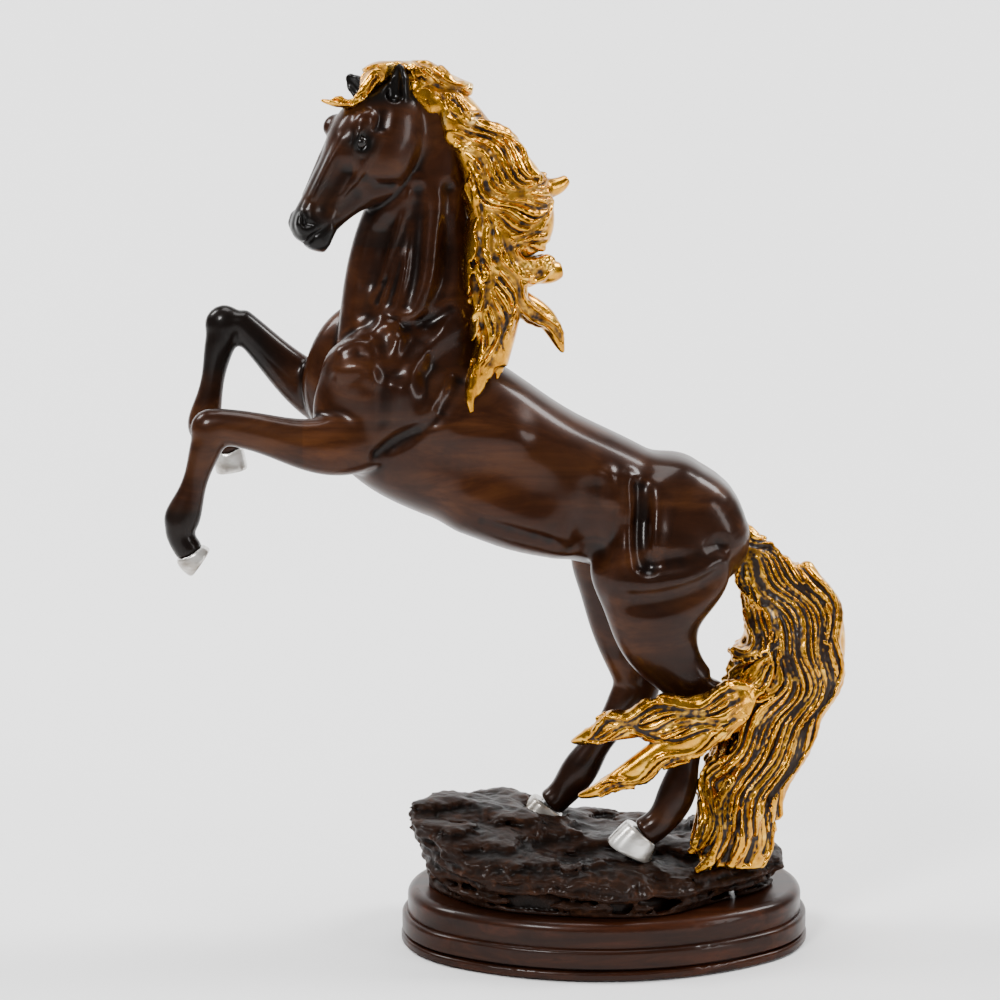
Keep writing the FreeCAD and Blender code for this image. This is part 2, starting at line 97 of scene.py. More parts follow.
class Clay:
    """A solid kept as signed distances in millimetres on a grid, with soft joins and cuts."""

    def __init__(self, low, high, step, reach=FAR):
        self.step, self.reach = step, reach
        self.first = np.floor(np.array(low, float) / step).astype(int)
        self.size = np.ceil(np.array(high, float) / step).astype(int) - self.first + 1
        self.d = np.full(self.size, reach, np.float32)

    @classmethod
    def like(cls, other):
        made = cls.__new__(cls)
        made.step, made.first, made.size, made.d = other.step, other.first, other.size, other.d
        made.reach = other.reach
        return made

    def solids(self, names):
        """Takes in CAD nodes as solids, with their hollows filled."""
        points, faces, count = [], [], 0
        for name in names:
            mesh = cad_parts[name].data
            mesh.calc_loop_triangles()
            co = np.empty(len(mesh.vertices) * 3, np.float32)
            mesh.vertices.foreach_get("co", co)
            tris = np.empty(len(mesh.loop_triangles) * 3, np.int32)
            mesh.loop_triangles.foreach_get("vertices", tris)
            points.append(co.reshape(-1, 3) * 1000)
            faces.append(tris.reshape(-1, 3) + count)
            count += len(mesh.vertices)
        transform = openvdb.createLinearTransform(self.step)
        make = openvdb.FloatGrid.createLevelSetFromPolygons
        rough = make(np.concatenate(points), triangles=np.concatenate(faces).astype(np.uint32),
                     transform=transform, halfWidth=4)
        points, quads = rough.convertToQuads(SEAL)
        quads = outer_quads(points, quads)
        clean = make(points, quads=quads, transform=transform, halfWidth=self.reach / self.step)
        d = np.full(self.size, self.reach, np.float32)
        clean.copyToArray(d, ijk=[int(v) for v in self.first])
        self.d = np.minimum(self.d, d + SEAL)
        return self

    def window(self, low, high):
        """The part of the grid inside a box, with its coordinates along each axis."""
        a = np.clip(np.floor(np.array(low) / self.step).astype(int) - self.first, 0, self.size - 1)
        b = np.clip(np.ceil(np.array(high) / self.step).astype(int) - self.first + 1, a + 1, self.size)
        axes = [(np.arange(a[i], b[i]) + self.first[i]).astype(np.float32) * self.step for i in range(3)]
        part = self.d[a[0]:b[0], a[1]:b[1], a[2]:b[2]]
        return part, axes[0][:, None, None], axes[1][None, :, None], axes[2][None, None, :]

    def put(self, form, blend, cut=False):
        """Joins a form on, or cuts it out. A form is (low, high, distance function)."""
        low, high, distance = form
        reach = blend + self.step
        part, x, y, z = self.window([v - reach for v in low], [v + reach for v in high])
        if cut:
            part[...] = -smooth_min(-part, distance(x, y, z), blend)
        else:
            part[...] = smooth_min(part, distance(x, y, z), blend)

    def soften(self, times):
        """Blurs the distances, which rounds off every edge."""
        for _ in range(times):
            for axis in range(3):
                d = np.moveaxis(self.d, axis, 0)
                blurred = d * 0.375
                blurred[1:] += d[:-1] * 0.25
                blurred[:-1] += d[1:] * 0.25
                blurred[2:] += d[:-2] * 0.0625
                blurred[:-2] += d[2:] * 0.0625
                blurred[:2] = d[:2]
                blurred[-2:] = d[-2:]
                self.d = np.moveaxis(blurred, 0, axis)
        self.d = np.ascontiguousarray(self.d)

    def skin_y(self, x, z, side):
        """The outermost y of the surface at (x, z), on the side asked for."""
        i = int(np.clip(round(x / self.step) - self.first[0], 0, self.size[0] - 1))
        k = int(np.clip(round(z / self.step) - self.first[2], 0, self.size[2] - 1))
        column = self.d[i, :, k]
        inside = np.nonzero(column < 0)[0]
        if len(inside) == 0:
            return None
        j = inside[0] if side < 0 else inside[-1]
        n = j + side
        share = column[j] / (column[j] - column[n]) if 0 <= n < len(column) else 0.0
        return float((j + self.first[1] + side * share) * self.step)

    def mesh(self, name, whole=None):
        """A closed Blender mesh. Its attribute relief says how far each point stands proud."""
        grid = openvdb.FloatGrid(FAR)
        grid.transform = openvdb.createLinearTransform(self.step)
        grid.copyFromArray(np.clip(self.d, -3 * self.step, 3 * self.step), ijk=[int(v) for v in self.first])
        points, quads = without_crumbs(*grid.convertToQuads(0.0))
        near = standing_proud(whole or self, points)
        near = near / near.std()
        data = bpy.data.meshes.new(name)
        data.vertices.add(len(points))
        data.vertices.foreach_set("co", (points * 0.001).astype(np.float32).ravel())
        data.loops.add(len(quads) * 4)
        data.loops.foreach_set("vertex_index", quads[:, ::-1].astype(np.int32).ravel())
        data.polygons.add(len(quads))
        data.polygons.foreach_set("loop_start", np.arange(0, len(quads) * 4, 4, dtype=np.int32))
        data.polygons.foreach_set("use_smooth", np.ones(len(quads), bool))
        data.update(calc_edges=True)
        data.validate()
        made = data.attributes.new("relief", "FLOAT", "POINT")
        made.data.foreach_set("value", near.astype(np.float32))
        piece = bpy.data.objects.new(name, data)
        bpy.context.scene.collection.objects.link(piece)
        return piece


def standing_proud(clay, points):
    """How far each surface point stands above the surface around it, in millimetres."""
    blurred = Clay.like(clay)
    blurred.soften(max(1, round(RELIEF_REACH / clay.step)))
    at = points / clay.step - clay.first
    base = np.clip(np.floor(at).astype(int), 0, clay.size - 2)
    share = at - base
    value = np.zeros(len(points))
    for i in (0, 1):
        for j in (0, 1):
            for k in (0, 1):
                weight = np.abs(1 - i - share[:, 0]) * np.abs(1 - j - share[:, 1]) * np.abs(1 - k - share[:, 2])
                value += weight * blurred.d[base[:, 0] + i, base[:, 1] + j, base[:, 2] + k]
    return value


def chain(points):
    """A round-ended bar through (x, y, z, radius) points."""
    points = [tuple(float(v) for v in p) for p in points]
    low = [min(p[i] - p[3] for p in points) for i in range(3)]
    high = [max(p[i] + p[3] for p in points) for i in range(3)]

    def distance(x, y, z):
        best = None
        for a, b in zip(points, points[1:] if len(points) > 1 else points):
            ab = [b[i] - a[i] for i in range(3)]
            length = max(sum(v * v for v in ab), 1e-9)
            t = ((x - a[0]) * ab[0] + (y - a[1]) * ab[1] + (z - a[2]) * ab[2]) / length
            t = np.clip(t, 0.0, 1.0)
            dx, dy, dz = x - a[0] - t * ab[0], y - a[1] - t * ab[1], z - a[2] - t * ab[2]
            d = np.sqrt(dx * dx + dy * dy + dz * dz) - (a[3] + t * (b[3] - a[3]))
            best = d if best is None else np.minimum(best, d)
        return best

    return low, high, distance


def egg(centre, halves, axes=((1, 0, 0), (0, 1, 0), (0, 0, 1))):
    """An ellipsoid with its half sizes along three directions."""
    reach = max(halves)

    def distance(x, y, z):
        p = (x - centre[0], y - centre[1], z - centre[2])
        u = [sum(p[i] * a[i] for i in range(3)) for a in axes]
        k0 = np.sqrt(sum((u[i] / halves[i]) ** 2 for i in range(3)))
        k1 = np.sqrt(sum((u[i] / halves[i] ** 2) ** 2 for i in range(3)))
        return k0 * (k0 - 1.0) / np.maximum(k1, 1e-6)

    return [c - reach for c in centre], [c + reach for c in centre], distance


def spline(points, count):
    """Points along a smooth curve through the given points, which may hold any number of values."""
    p = np.array(points, float)
    p = np.vstack([2 * p[0] - p[1], p, 2 * p[-1] - p[-2]])
    spans = len(p) - 3
    out = []
    for s in np.linspace(0, spans - 1e-6, count):
        i = int(s)
        t = s - i
        a, b, c, d = p[i], p[i + 1], p[i + 2], p[i + 3]
        out.append(0.5 * (2 * b + (c - a) * t + (2 * a - 5 * b + 4 * c - d) * t ** 2
                          + (3 * b - a - 3 * c + d) * t ** 3))
    return np.array(out)


# ------------------------------------------------------------------ the horse's skin

def trace(clay, path, blend, cut=False):
    """Draws a muscle, or a furrow, on both flanks. path holds (x, z, radius, height or depth)."""
    for side in BOTH:
        points = []
        for x, z, radius, height in spline(path, max(2, 3 * len(path))):
            y = clay.skin_y(x, z, side)
            if y is None:
                continue
            out = (radius - height) if cut else (height - radius)
            points.append((x, y + side * out, z, radius))
        if len(points) > 1:
            clay.put(chain(points), blend, cut)


# Muscles: path of (x, z, radius, height), blend.
MUSCLES = [
    # chest and shoulder
    ([(-113, 266, 11, 1.4), (-106, 258, 12, 1.8), (-104, 248, 11, 1.0)], 6),
    ([(-116, 273, 4, 0.3), (-109, 275.5, 4, 0.6), (-102, 270, 4, 0.3)], 3.5),
    ([(-116, 266, 4, 0.3), (-109, 267, 4, 0.6), (-102, 262, 4, 0.3)], 3.5),
    ([(-92, 262, 5, 1.4), (-90, 268, 5, 1.8), (-83, 275, 5, 1.6), (-74, 281, 5, 1.0), (-66, 284, 5, 0.5)], 5),
    ([(-98, 283, 5, 0.8), (-93, 278, 5, 1.4), (-96, 269, 5, 0.8)], 4),
    ([(-92, 258, 7, 2.0), (-90, 254, 7, 1.6)], 5),
    ([(-90, 250, 12, 1.2), (-82, 247, 12, 1.6), (-76, 250, 10, 0.8)], 6),
    # ribs and belly
    ([(-79, 244, 6, 1.2), (-74, 238, 8, 1.6), (-67, 234.5, 9, 1.6), (-57, 234, 9, 1.2), (-46, 236, 9, 0.6)], 7),
    ([(-60, 206, 14, 0.8), (-40, 200, 15, 1.0), (-24, 194, 12, 0.6)], 8),
    # flank and hip
    ([(-2, 218, 3.6, 1.0), (-2, 209, 3.6, 0.9)], 4),
    ([(6.5, 216, 4, 1.0), (6.8, 204, 4, 2.0), (6.5, 190, 4.4, 2.0), (5.6, 178, 5, 1.4), (5, 168, 6, 0.6)], 4),
    ([(20, 210, 4.5, 0.8), (19.4, 200, 4.5, 1.4), (17.6, 189, 4.5, 1.0)], 4),
    ([(30, 207, 16, 1.0), (42, 199, 16, 1.4), (48, 190, 14, 0.8)], 9),
    ([(11, 173, 6, 0.6), (28, 175, 7, 1.0), (43, 180, 6, 0.6)], 6),
]
# Furrows: path of (x, z, radius, depth), blend.
FURROWS = [
    ([(-99, 282, 4, 0.6), (-97.5, 270, 4, 1.2), (-98.5, 256, 4, 1.0), (-99, 244, 4, 0.6)], 4),
    ([(-80, 284, 5, 0.8), (-87, 276.5, 5, 2.2), (-93, 267, 5, 1.6)], 4),
    ([(-66, 262, 4, 0.5), (-72, 252, 3.6, 1.6), (-76, 246, 3.2, 2.2), (-84, 240.5, 3, 2.4), (-92, 236, 3, 2.4),
      (-101, 229.5, 3, 1.8)], 3.5),
    ([(-72, 226, 13, 0.6), (-52, 222, 14, 1.0), (-34, 214, 13, 0.6)], 8),
    ([(-57, 198, 3, 0.5), (-43, 194, 3, 1.0), (-30, 190, 3, 1.0), (-18, 185, 3, 0.6)], 3.5),
    ([(-8, 214, 6, 0.8), (-9, 204, 6.5, 1.8), (-10, 194, 7, 2.2), (-9, 186, 6, 1.4)], 6),
    ([(13, 214, 3.6, 1.0), (13.2, 204, 3.8, 2.8), (12.6, 192, 4, 3.2), (13.5, 182, 4, 1.6)], 3.6),
    ([(4.5, 163.5, 5, 0.8), (16, 164, 5, 2.0), (29, 166.5, 5, 2.2), (40, 170, 5, 1.6), (49, 175, 5, 0.6)], 5),
    ([(16, 181, 3.6, 1.0), (26, 182.5, 4, 1.6), (38, 184, 4, 1.2), (48, 188, 4, 0.6)], 5),
]
NECK_MUSCLES = [
    ([(-86.4, 339, 2.8, 0.8), (-91.7, 325.5, 2.8, 1.7), (-97, 313.5, 2.8, 1.9), (-101.3, 303, 2.6, 1.5),
      (-104, 295, 2.4, 0.3)], 2.4),
    ([(-90.5, 320, 2.4, 0.6), (-94, 310, 2.4, 1.4), (-97.5, 302, 2.4, 1.4), (-100.5, 295, 2.4, 0.3)], 2.4),
    ([(-87.5, 328, 2.8, 0.6), (-88.3, 319, 3, 1.6), (-90.5, 304, 3, 1.8), (-94, 291, 3, 0.3)], 2.8),
    ([(-73.5, 337, 6, 0.8), (-74.6, 331, 7, 1.8), (-78, 317, 8, 2.2), (-81, 300, 8, 2.2),
      (-86.8, 289.5, 6, 1.0)], 4),
    ([(-85, 347, 3.2, 0.8), (-89, 340, 3.4, 1.4), (-95, 334, 3.4, 1.2), (-100, 328, 3, 0.5)], 3),
]
NECK_FURROWS = [
    ([(-100, 327, 5, 0.8), (-102.5, 315, 5.5, 2.2), (-105.5, 302, 5.5, 2.4), (-108, 290, 5, 1.2)], 4),
    ([(-87.5, 330, 1.8, 0.6), (-94, 315.5, 1.8, 1.2), (-99.5, 302, 1.8, 1.0), (-102.5, 295, 1.8, 0.2)], 1.6),
    ([(-86, 336, 2.6, 0.6), (-91, 316, 2.6, 1.4), (-94.5, 304, 2.6, 1.3), (-97, 295, 2.6, 0.2)], 2.2),
    ([(-83.5, 342, 3.4, 0.8), (-84.5, 322, 3.2, 1.6), (-86, 306, 3, 1.4), (-89, 294, 3, 0.3)], 2.6),
    ([(-69, 342, 4, 1.0), (-69.6, 325, 4.4, 1.8), (-71.6, 304, 4.4, 1.8), (-79, 287, 4, 0.8)], 4),
    ([(-94, 284, 2.6, 0.5), (-88, 284.6, 2.6, 1.3), (-80, 286.5, 2.8, 1.3), (-70, 292, 3, 0.6)], 2.6),
]

HEAD_YAW = math.radians(20)
HEAD_PITCH = math.radians(52)
POLL = np.array([-88.0, -3.0, 388.0])
FACING = np.array([-math.cos(HEAD_YAW), -math.sin(HEAD_YAW), 0.0])
ASIDE = np.array([-math.sin(HEAD_YAW), math.cos(HEAD_YAW), 0.0])
UPWARD = np.array([0.0, 0.0, 1.0])
AHEAD = FACING * math.cos(HEAD_PITCH) - UPWARD * math.sin(HEAD_PITCH)
ABOVE = FACING * math.sin(HEAD_PITCH) + UPWARD * math.cos(HEAD_PITCH)


def on_head(ahead, above, aside):
    """A place given in the head's own directions, from the poll."""
    return POLL + AHEAD * ahead + ABOVE * above + ASIDE * aside


def head_chain(points, side):
    """A bar through (ahead, above, aside, radius) points of the head."""
    return chain([(*on_head(a, b, c * side), r) for a, b, c, r in points])


def head_egg(centre, halves, side):
    """An ellipsoid lying along the head's own directions."""
    a, b, c = centre
    return egg(on_head(a, b, c * side), halves, (AHEAD, ABOVE, ASIDE))


# Forms on both sides of the head: points of (ahead, above, aside, radius), blend.
HEAD_RIDGES = [
    ([(38, 10.6, 6.4, 2.4), (47, 9.6, 5.8, 2.2), (57, 7.8, 5.2, 1.9), (65, 6.4, 4.8, 1.6)], 1.8),
    ([(27, 0.4, 11.8, 2.2), (36, -1.0, 12.0, 2.1), (46, -2.2, 10.2, 1.9), (57, -3.0, 7.8, 1.4)], 2.2),
    ([(39.5, 3.8, 11.3, 1.4), (43, 1.4, 10.6, 1.5), (47, -0.6, 9.6, 1.3)], 1.4),
    ([(75, 5.4, 5.0, 1.6), (78, 4.2, 5.4, 1.7), (79.2, 2.0, 5.6, 1.7), (78, 0.2, 5.8, 1.4)], 2.6),
    ([(72, -8.4, 4.6, 2.4), (77, -9.2, 3.8, 3.0), (79, -8.6, 1.0, 3.2)], 2.4),
]
HEAD_HOLLOWS = [
    ([(19, 5.5, 14.6, 3.6), (24, 3.5, 15.2, 3.4)], 3.5),
    ([(29.5, 7.4, 14.0, 1.3), (33, 9.6, 13.6, 1.3), (37.5, 9.2, 13.0, 1.2)], 2.2),
    ([(50, 3.4, 12.2, 4.6), (58, 2.2, 10.8, 4.2), (66, 0.6, 10.2, 3.6)], 4),
    ([(47, -7.5, 13.4, 3.0), (46, -13, 12.6, 3.2), (42, -18.5, 11.6, 2.6)], 3),
    ([(54, -8.5, 11.6, 4.0), (62, -7.0, 10.6, 3.4)], 4),
    ([(71.9, 5.2, 6.6, 0.9), (74.6, 4.4, 6.8, 1.5), (76.2, 2.8, 7.0, 1.7), (75.2, 1.0, 7.4, 1.1)], 0.8),
    ([(85, -3.4, 0.0, 1.2), (82, -3.4, 4.2, 1.2), (78.7, -3.2, 6.8, 1.1), (75, -4.4, 7.6, 1.0),
      (71, -5.6, 8.2, 0.8)], 0.9),
    ([(88.5, -13.5, 0.0, 5.2), (87.5, -12.5, 7.0, 5.0)], 4),
    ([(89, 6.5, 0.0, 4.6), (88, 6.0, 7.0, 4.6)], 4),
]
# Cheeks and the swell over the eye: centre and half sizes (ahead, above, aside), blend.
CHEEK = ((22, -7, 8.2), (14, 12, 5.6), 5)
JAW = ((33, -9.5, 8.8), (10, 10, 4.6), 3)
BROW = ((26.8, 8.8, 10.2), (5.2, 4.0, 3.2), 2.8)
FAR_BROW = ((33, 13, 10), (5, 4, 4), 3)

EYE = (34.8, 5.2, 11.6)
SOCKET_OUT = 3.6
SOCKET_HALVES = (4.2, 3.4, 3.6)
LID_BLEND = 1.6
LID_HALF_LENGTH = 4.6
LID_POINTS = 9
# Each lid's rise above the eye's middle, and its radius.
LIDS = ((3.1, 1.3), (-2.9, 1.1))

# Each ear's root, tip and the way that it opens.
EARS = [
    ((-91, -11, 378), (-91.5, -11.5, 396.5), (-0.5, -0.8, 0)),
    ((-104.5, 4, 381), (-114, 7, 391), (-0.6, -0.6, 0.2)),
]
# An ear's radius at shares of its length.
EAR_WIDTHS = ((0.0, 3.6), (0.3, 4.7), (0.6, 4.2), (0.85, 2.4), (1.0, 0.5))
EAR_BLEND = 1.4
EAR_HOLLOW_OUT = 1.1
EAR_HOLLOW_SIZE = 0.72

SKIN_BOX = ((-202, -46, 40), (66, 46, 404))
SKIN_NODES = ["torso_shell", "neck_shell", "head", "left_foreleg", "right_foreleg",
              "left_hind_leg", "right_hind_leg"]


def swell(clay, form, side):
    centre, halves, blend = form
    clay.put(head_egg(centre, halves, side), blend)


def lids(clay, side):
    """A socket with an upper and a lower lid, drawn to a corner at the front and the back."""
    ahead, above, aside = EYE
    clay.put(head_egg((ahead, above, aside + SOCKET_OUT), SOCKET_HALVES, side), LID_BLEND, cut=True)
    for rise, radius in LIDS:
        arc = []
        for n in range(LID_POINTS):
            angle = math.pi * n / (LID_POINTS - 1)
            along = LID_HALF_LENGTH * math.cos(angle)
            up = rise * math.sin(angle)
            arc.append((ahead + along * 0.92 - up * 0.25, above - along * 0.35 + up,
                        aside + 1.5 * math.sin(angle) - 0.6, radius))
        clay.put(head_chain(arc, side), LID_BLEND)


def sculpt_head(clay):
    for side in BOTH:
        swell(clay, CHEEK, side)
        swell(clay, JAW, side)
        for points, blend in HEAD_RIDGES:
            clay.put(head_chain(points, side), blend)
        for points, blend in HEAD_HOLLOWS:
            clay.put(head_chain(points, side), blend, cut=True)
        swell(clay, BROW, side)
        lids(clay, side)
    swell(clay, FAR_BROW, 1)


def sculpt_ear(clay, root, tip, open_way):
    """A leaf-shaped ear with a hollow towards open_way."""
    root, tip = np.array(root, float), np.array(tip, float)
    clay.put(chain([(*(root + (tip - root) * s), r) for s, r in EAR_WIDTHS]), EAR_BLEND)
    way = np.array(open_way, float)
    hollow = [(*(root + (tip - root) * s + way * (r * EAR_HOLLOW_OUT)), r * EAR_HOLLOW_SIZE)
              for s, r in EAR_WIDTHS[1:4]]
    clay.put(chain(hollow), EAR_BLEND, cut=True)


def make_skin():
    """The horse from ears to pasterns as one skin, with the seams between the castings chased away."""
    clay = Clay(*SKIN_BOX, SKIN_STEP)
    clay.solids(SKIN_NODES)
    clay.soften(3 if FINE else 1)
    for paths, cut in ((MUSCLES, False), (FURROWS, True), (NECK_MUSCLES, False), (NECK_FURROWS, True)):
        for path, blend in paths:
            trace(clay, path, blend, cut)
    sculpt_head(clay)
    for root, tip, open_way in EARS:
        sculpt_ear(clay, root, tip, open_way)
    return clay.mesh("horse_skin")


# ------------------------------------------------------------------ hair

# Flow lines of the hair in (x, z), each list running across a lock from one side to the other.
MANE_SWEEP = [
    [(-78, 384), (-66, 380), (-54, 372), (-43, 362), (-33, 353), (-22, 350)],
    [(-71, 372), (-61, 370), (-53, 364), (-44, 355), (-36, 347), (-20, 349)],
    [(-69, 367), (-59, 360), (-51, 351), (-42, 343), (-33, 340), (-20, 345)],
    [(-66, 359), (-58, 350), (-51, 342), (-41, 336), (-31, 336), (-20, 341)],
    [(-64, 351), (-57, 340), (-50, 333), (-40, 330), (-30, 331), (-20, 337)],
    [(-63, 345), (-56, 334), (-50, 326), (-42, 323), (-31, 324), (-26, 329)],
    [(-62, 341), (-55, 329), (-48, 321), (-40, 317), (-32, 317), (-26, 321)],
]
MANE_FALL = [
    [(-65, 347), (-63, 339), (-62, 328), (-65, 319), (-68, 314), (-70, 310)],
    [(-64, 345), (-62, 336), (-60, 325), (-62, 314), (-63, 304), (-65, 296)],
    [(-62, 345), (-59, 332), (-56, 319), (-56, 304), (-56, 289), (-65, 275)],
    [(-61, 343), (-57, 328), (-54, 312), (-53, 295), (-55, 274), (-61, 252)],
    [(-59, 339), (-55, 326), (-52, 312), (-50, 297), (-49, 280), (-49, 263)],
    [(-58, 336), (-54, 325), (-49, 312), (-46, 299), (-43, 287), (-43, 273)],
]
MANE_FLICKS = [
    [(-57, 335), (-52, 322), (-47, 309), (-42, 297), (-29, 289), (-22, 273)],
    [(-56, 332), (-50, 318), (-44, 305), (-38, 294), (-26, 283), (-22, 272)],
]
MANE_MIDDLE_FLICK = [
    [(-56, 332), (-49, 320), (-42, 309), (-36, 304), (-28, 304), (-23, 308)],
    [(-50, 325), (-42, 318), (-36, 314), (-29, 312), (-25, 311), (-22, 312)],
]
MANE_CREST = [
    [(-89, 397), (-83, 395), (-76, 394), (-70, 392), (-65, 389), (-60, 388)],
    [(-88, 394), (-82, 391), (-76, 389), (-70, 386), (-65, 384), (-60, 383)],
    [(-86, 391), (-81, 387), (-75, 383), (-69, 378), (-62, 374), (-43, 370)],
    [(-85, 387), (-80, 383), (-75, 378), (-70, 373), (-61, 367), (-48, 364)],
]
FORELOCK = [
    [(-91, 398), (-96, 397), (-101, 395), (-106, 392), (-112, 386), (-125, 383)],
    [(-92, 395), (-96, 393), (-101, 390), (-107, 386), (-113, 382), (-125, 382)],
    [(-95, 392), (-98, 389), (-102, 385), (-107, 382), (-113, 381), (-120, 379)],
    [(-96, 388), (-99, 384), (-102, 382), (-106, 381), (-112, 379), (-117, 379)],
]
TAIL = [
    [(55, 199), (65, 190), (78, 183), (94, 172), (100, 156), (103, 141),
     (100, 122), (93, 104), (81, 87), (77, 62), (74, 40)],
    [(55, 194), (63, 185), (74, 175), (85, 163), (93, 145), (95, 127),
     (91, 109), (80, 93), (71, 74), (66, 54), (64, 38)],
    [(55, 188), (62, 179), (70, 168), (80, 154), (86, 138), (87, 122),
     (80, 107), (69, 91), (60, 72), (55, 54), (54, 38)],
    [(56, 182), (61, 173), (68, 161), (76, 145), (79, 132), (75, 118),
     (64, 102), (53, 86), (47, 70), (44, 54), (45, 38)],
    [(57, 176), (62, 166), (69, 154), (74, 140), (70, 127), (59, 118),
     (46, 105), (40, 89), (38, 73), (37, 56), (38, 42)],
]
TAIL_CURL = [
    [(59, 175), (66, 161), (71, 149), (68, 140), (59, 136), (49, 138)],
    [(58, 164), (63, 155), (66, 145), (62, 141), (56, 139), (49, 140)],
]
TAIL_INNER = [
    [(71, 152), (69, 143), (62, 136), (54, 132), (44, 128)],
    [(76, 146), (72, 135), (64, 127), (54, 123), (44, 120)],
    [(80, 140), (75, 126), (65, 117), (56, 112), (47, 108)],
]
SWEEP_HIGH = [
    [(78, 124), (63, 124), (48, 123), (34, 120), (19, 118), (6, 115), (-6, 112), (-18, 102)],
    [(81, 120), (65, 119), (49, 115), (34, 112), (19, 110), (6, 111), (-5, 108), (-16, 102)],
    [(79, 114), (63, 111), (48, 107), (34, 105), (19, 105), (7, 106), (-4, 104), (-14, 102)],
]
SWEEP_LOW = [
    [(79, 120), (62, 114), (46, 107), (33, 100), (22, 94), (11, 89), (0, 84), (-13, 76)],
    [(77, 113), (62, 106), (47, 98), (35, 92), (23, 87), (13, 82), (2, 79), (-11, 75)],
    [(74, 106), (61, 99), (48, 93), (36, 87), (25, 84), (15, 78), (4, 75), (-10, 73)],
]


class Faces:
    """The near and far faces of a solid as heights over the (x, z) plane, for laying hair on."""

    def __init__(self, clay):
        inside = clay.d < 0
        self.clay = clay
        self.there = inside.any(axis=1)
        first = inside.argmax(axis=1)
        last = inside.shape[1] - 1 - inside[:, ::-1].argmax(axis=1)
        self.y = {-1: self.even(first), 1: self.even(last)}

    def even(self, index):
        """Heights averaged over the cells around each one."""
        y = np.where(self.there, (index + self.clay.first[1]) * self.clay.step, 0.0)
        weight = self.there.astype(float)
        for _ in range(4):
            for axis in (0, 1):
                y = y + np.roll(y, 1, axis) + np.roll(y, -1, axis)
                weight = weight + np.roll(weight, 1, axis) + np.roll(weight, -1, axis)
        return y / np.maximum(weight, 1e-9)

    def at(self, x, z, side):
        i = int(round(x / self.clay.step)) - self.clay.first[0]
        k = int(round(z / self.clay.step)) - self.clay.first[2]
        if not (0 <= i < self.there.shape[0] and 0 <= k < self.there.shape[1]) or not self.there[i, k]:
            return None
        return self.y[side][i, k]


# Broad locks, the strands over them, and the furrows between the strands.
LOCK = {"radius": 3.0, "height": 1.5, "blend": 0.8, "wave": 2.6, "trim": 0.16}
STRAND = {"radius": 1.7, "height": 1.2, "blend": 0.4, "wave": 2.4, "trim": 0.1}
FURROW = {"radius": 0.75, "height": 1.5, "blend": 0.7, "wave": 2.4, "trim": 0.1, "cut": True}
STRAND_STEP = 3.4
FEWEST_STEPS = 16
WAVE_LENGTH = 34
LONGEST_TRIM = 10.0


def comb(clay, guides, count, seed, radius, height, blend, wave, trim, cut=False):
    """Lays count strands of hair, or furrows between them, that follow the flow lines and waver."""
    rng = np.random.default_rng(seed)
    faces = Faces(clay)
    longest = max(np.linalg.norm(np.diff(np.array(line, float), axis=0), axis=1).sum() for line in guides)
    steps = max(FEWEST_STEPS, int(longest / STRAND_STEP))
    lines = np.array([spline(line, steps) for line in guides])
    t = np.linspace(0, 1, steps)
    for side in BOTH:
        for n in range(count):
            u = (n + rng.uniform(0.0, 0.6) + (0.5 if cut else 0.0)) / count * (len(lines) - 1)
            i = min(int(u), len(lines) - 2)
            path = lines[i] * (1 - u + i) + lines[i + 1] * (u - i)
            along = np.gradient(path, axis=0)
            along /= np.maximum(np.linalg.norm(along, axis=1, keepdims=True), 1e-6)
            length = np.linalg.norm(np.diff(path, axis=0), axis=1).sum()
            turns = length / WAVE_LENGTH + 0.12 * u
            swing = wave * rng.uniform(0.7, 1.2)
            sway = swing * np.sin(2 * math.pi * (turns * t + 0.3 * u + rng.uniform(0, 0.12)))
            path = path + np.stack([-along[:, 1], along[:, 0]], 1) * sway[:, None]
            slack = min(trim, LONGEST_TRIM / length)
            start, stop = rng.uniform(0, slack), 1 - rng.uniform(0, slack)
            size, lift = radius * rng.uniform(0.75, 1.25), height * rng.uniform(0.6, 1.25)
            points = []
            for share, (x, z) in zip(t, path):
                y = faces.at(x, z, side)
                if y is None or share < start or share > stop:
                    lay(clay, points, blend, cut)
                    points = []
                    continue
                taper = min(1.0, (share - start) / 0.12 + 0.3, (stop - share) / 0.22 + 0.25)
                r = size * taper
                out = r - lift * taper if cut else lift * taper - r
                points.append((x, y + side * out, z, r))
            lay(clay, points, blend, cut)


def lay(clay, points, blend, cut):
    """Joins on, or cuts out, a bar through the points, one link at a time."""
    for a, b in zip(points, points[1:]):
        clay.put(chain([a, b]), blend, cut)


def comb_over(clay, combs, seed):
    """Broad locks first, then strands over them, then the fine furrows between the strands."""
    strand_seed = seed + 50
    for n, (guides, locks, strands) in enumerate(combs):
        comb(clay, guides, locks, seed + n, **LOCK)
    for n, (guides, locks, strands) in enumerate(combs):
        comb(clay, guides, strands, strand_seed + n, **STRAND)
    for n, (guides, locks, strands) in enumerate(combs):
        comb(clay, guides, strands, strand_seed + n, **FURROW)


def box_of(node):
    """A node's box in millimetres, with BOX_MARGIN all round."""
    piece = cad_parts[node]
    corners = np.array([piece.matrix_world @ v.co for v in piece.data.vertices]) * 1000
    return corners.min(axis=0) - BOX_MARGIN, corners.max(axis=0) + BOX_MARGIN


def box_round(nodes):
    boxes = [box_of(node) for node in nodes]
    return np.min([low for low, high in boxes], axis=0), np.max([high for low, high in boxes], axis=0)


MANE_NODES = ["forelock", "mane_crest", "mane_upper", "mane_middle", "mane_lower"]
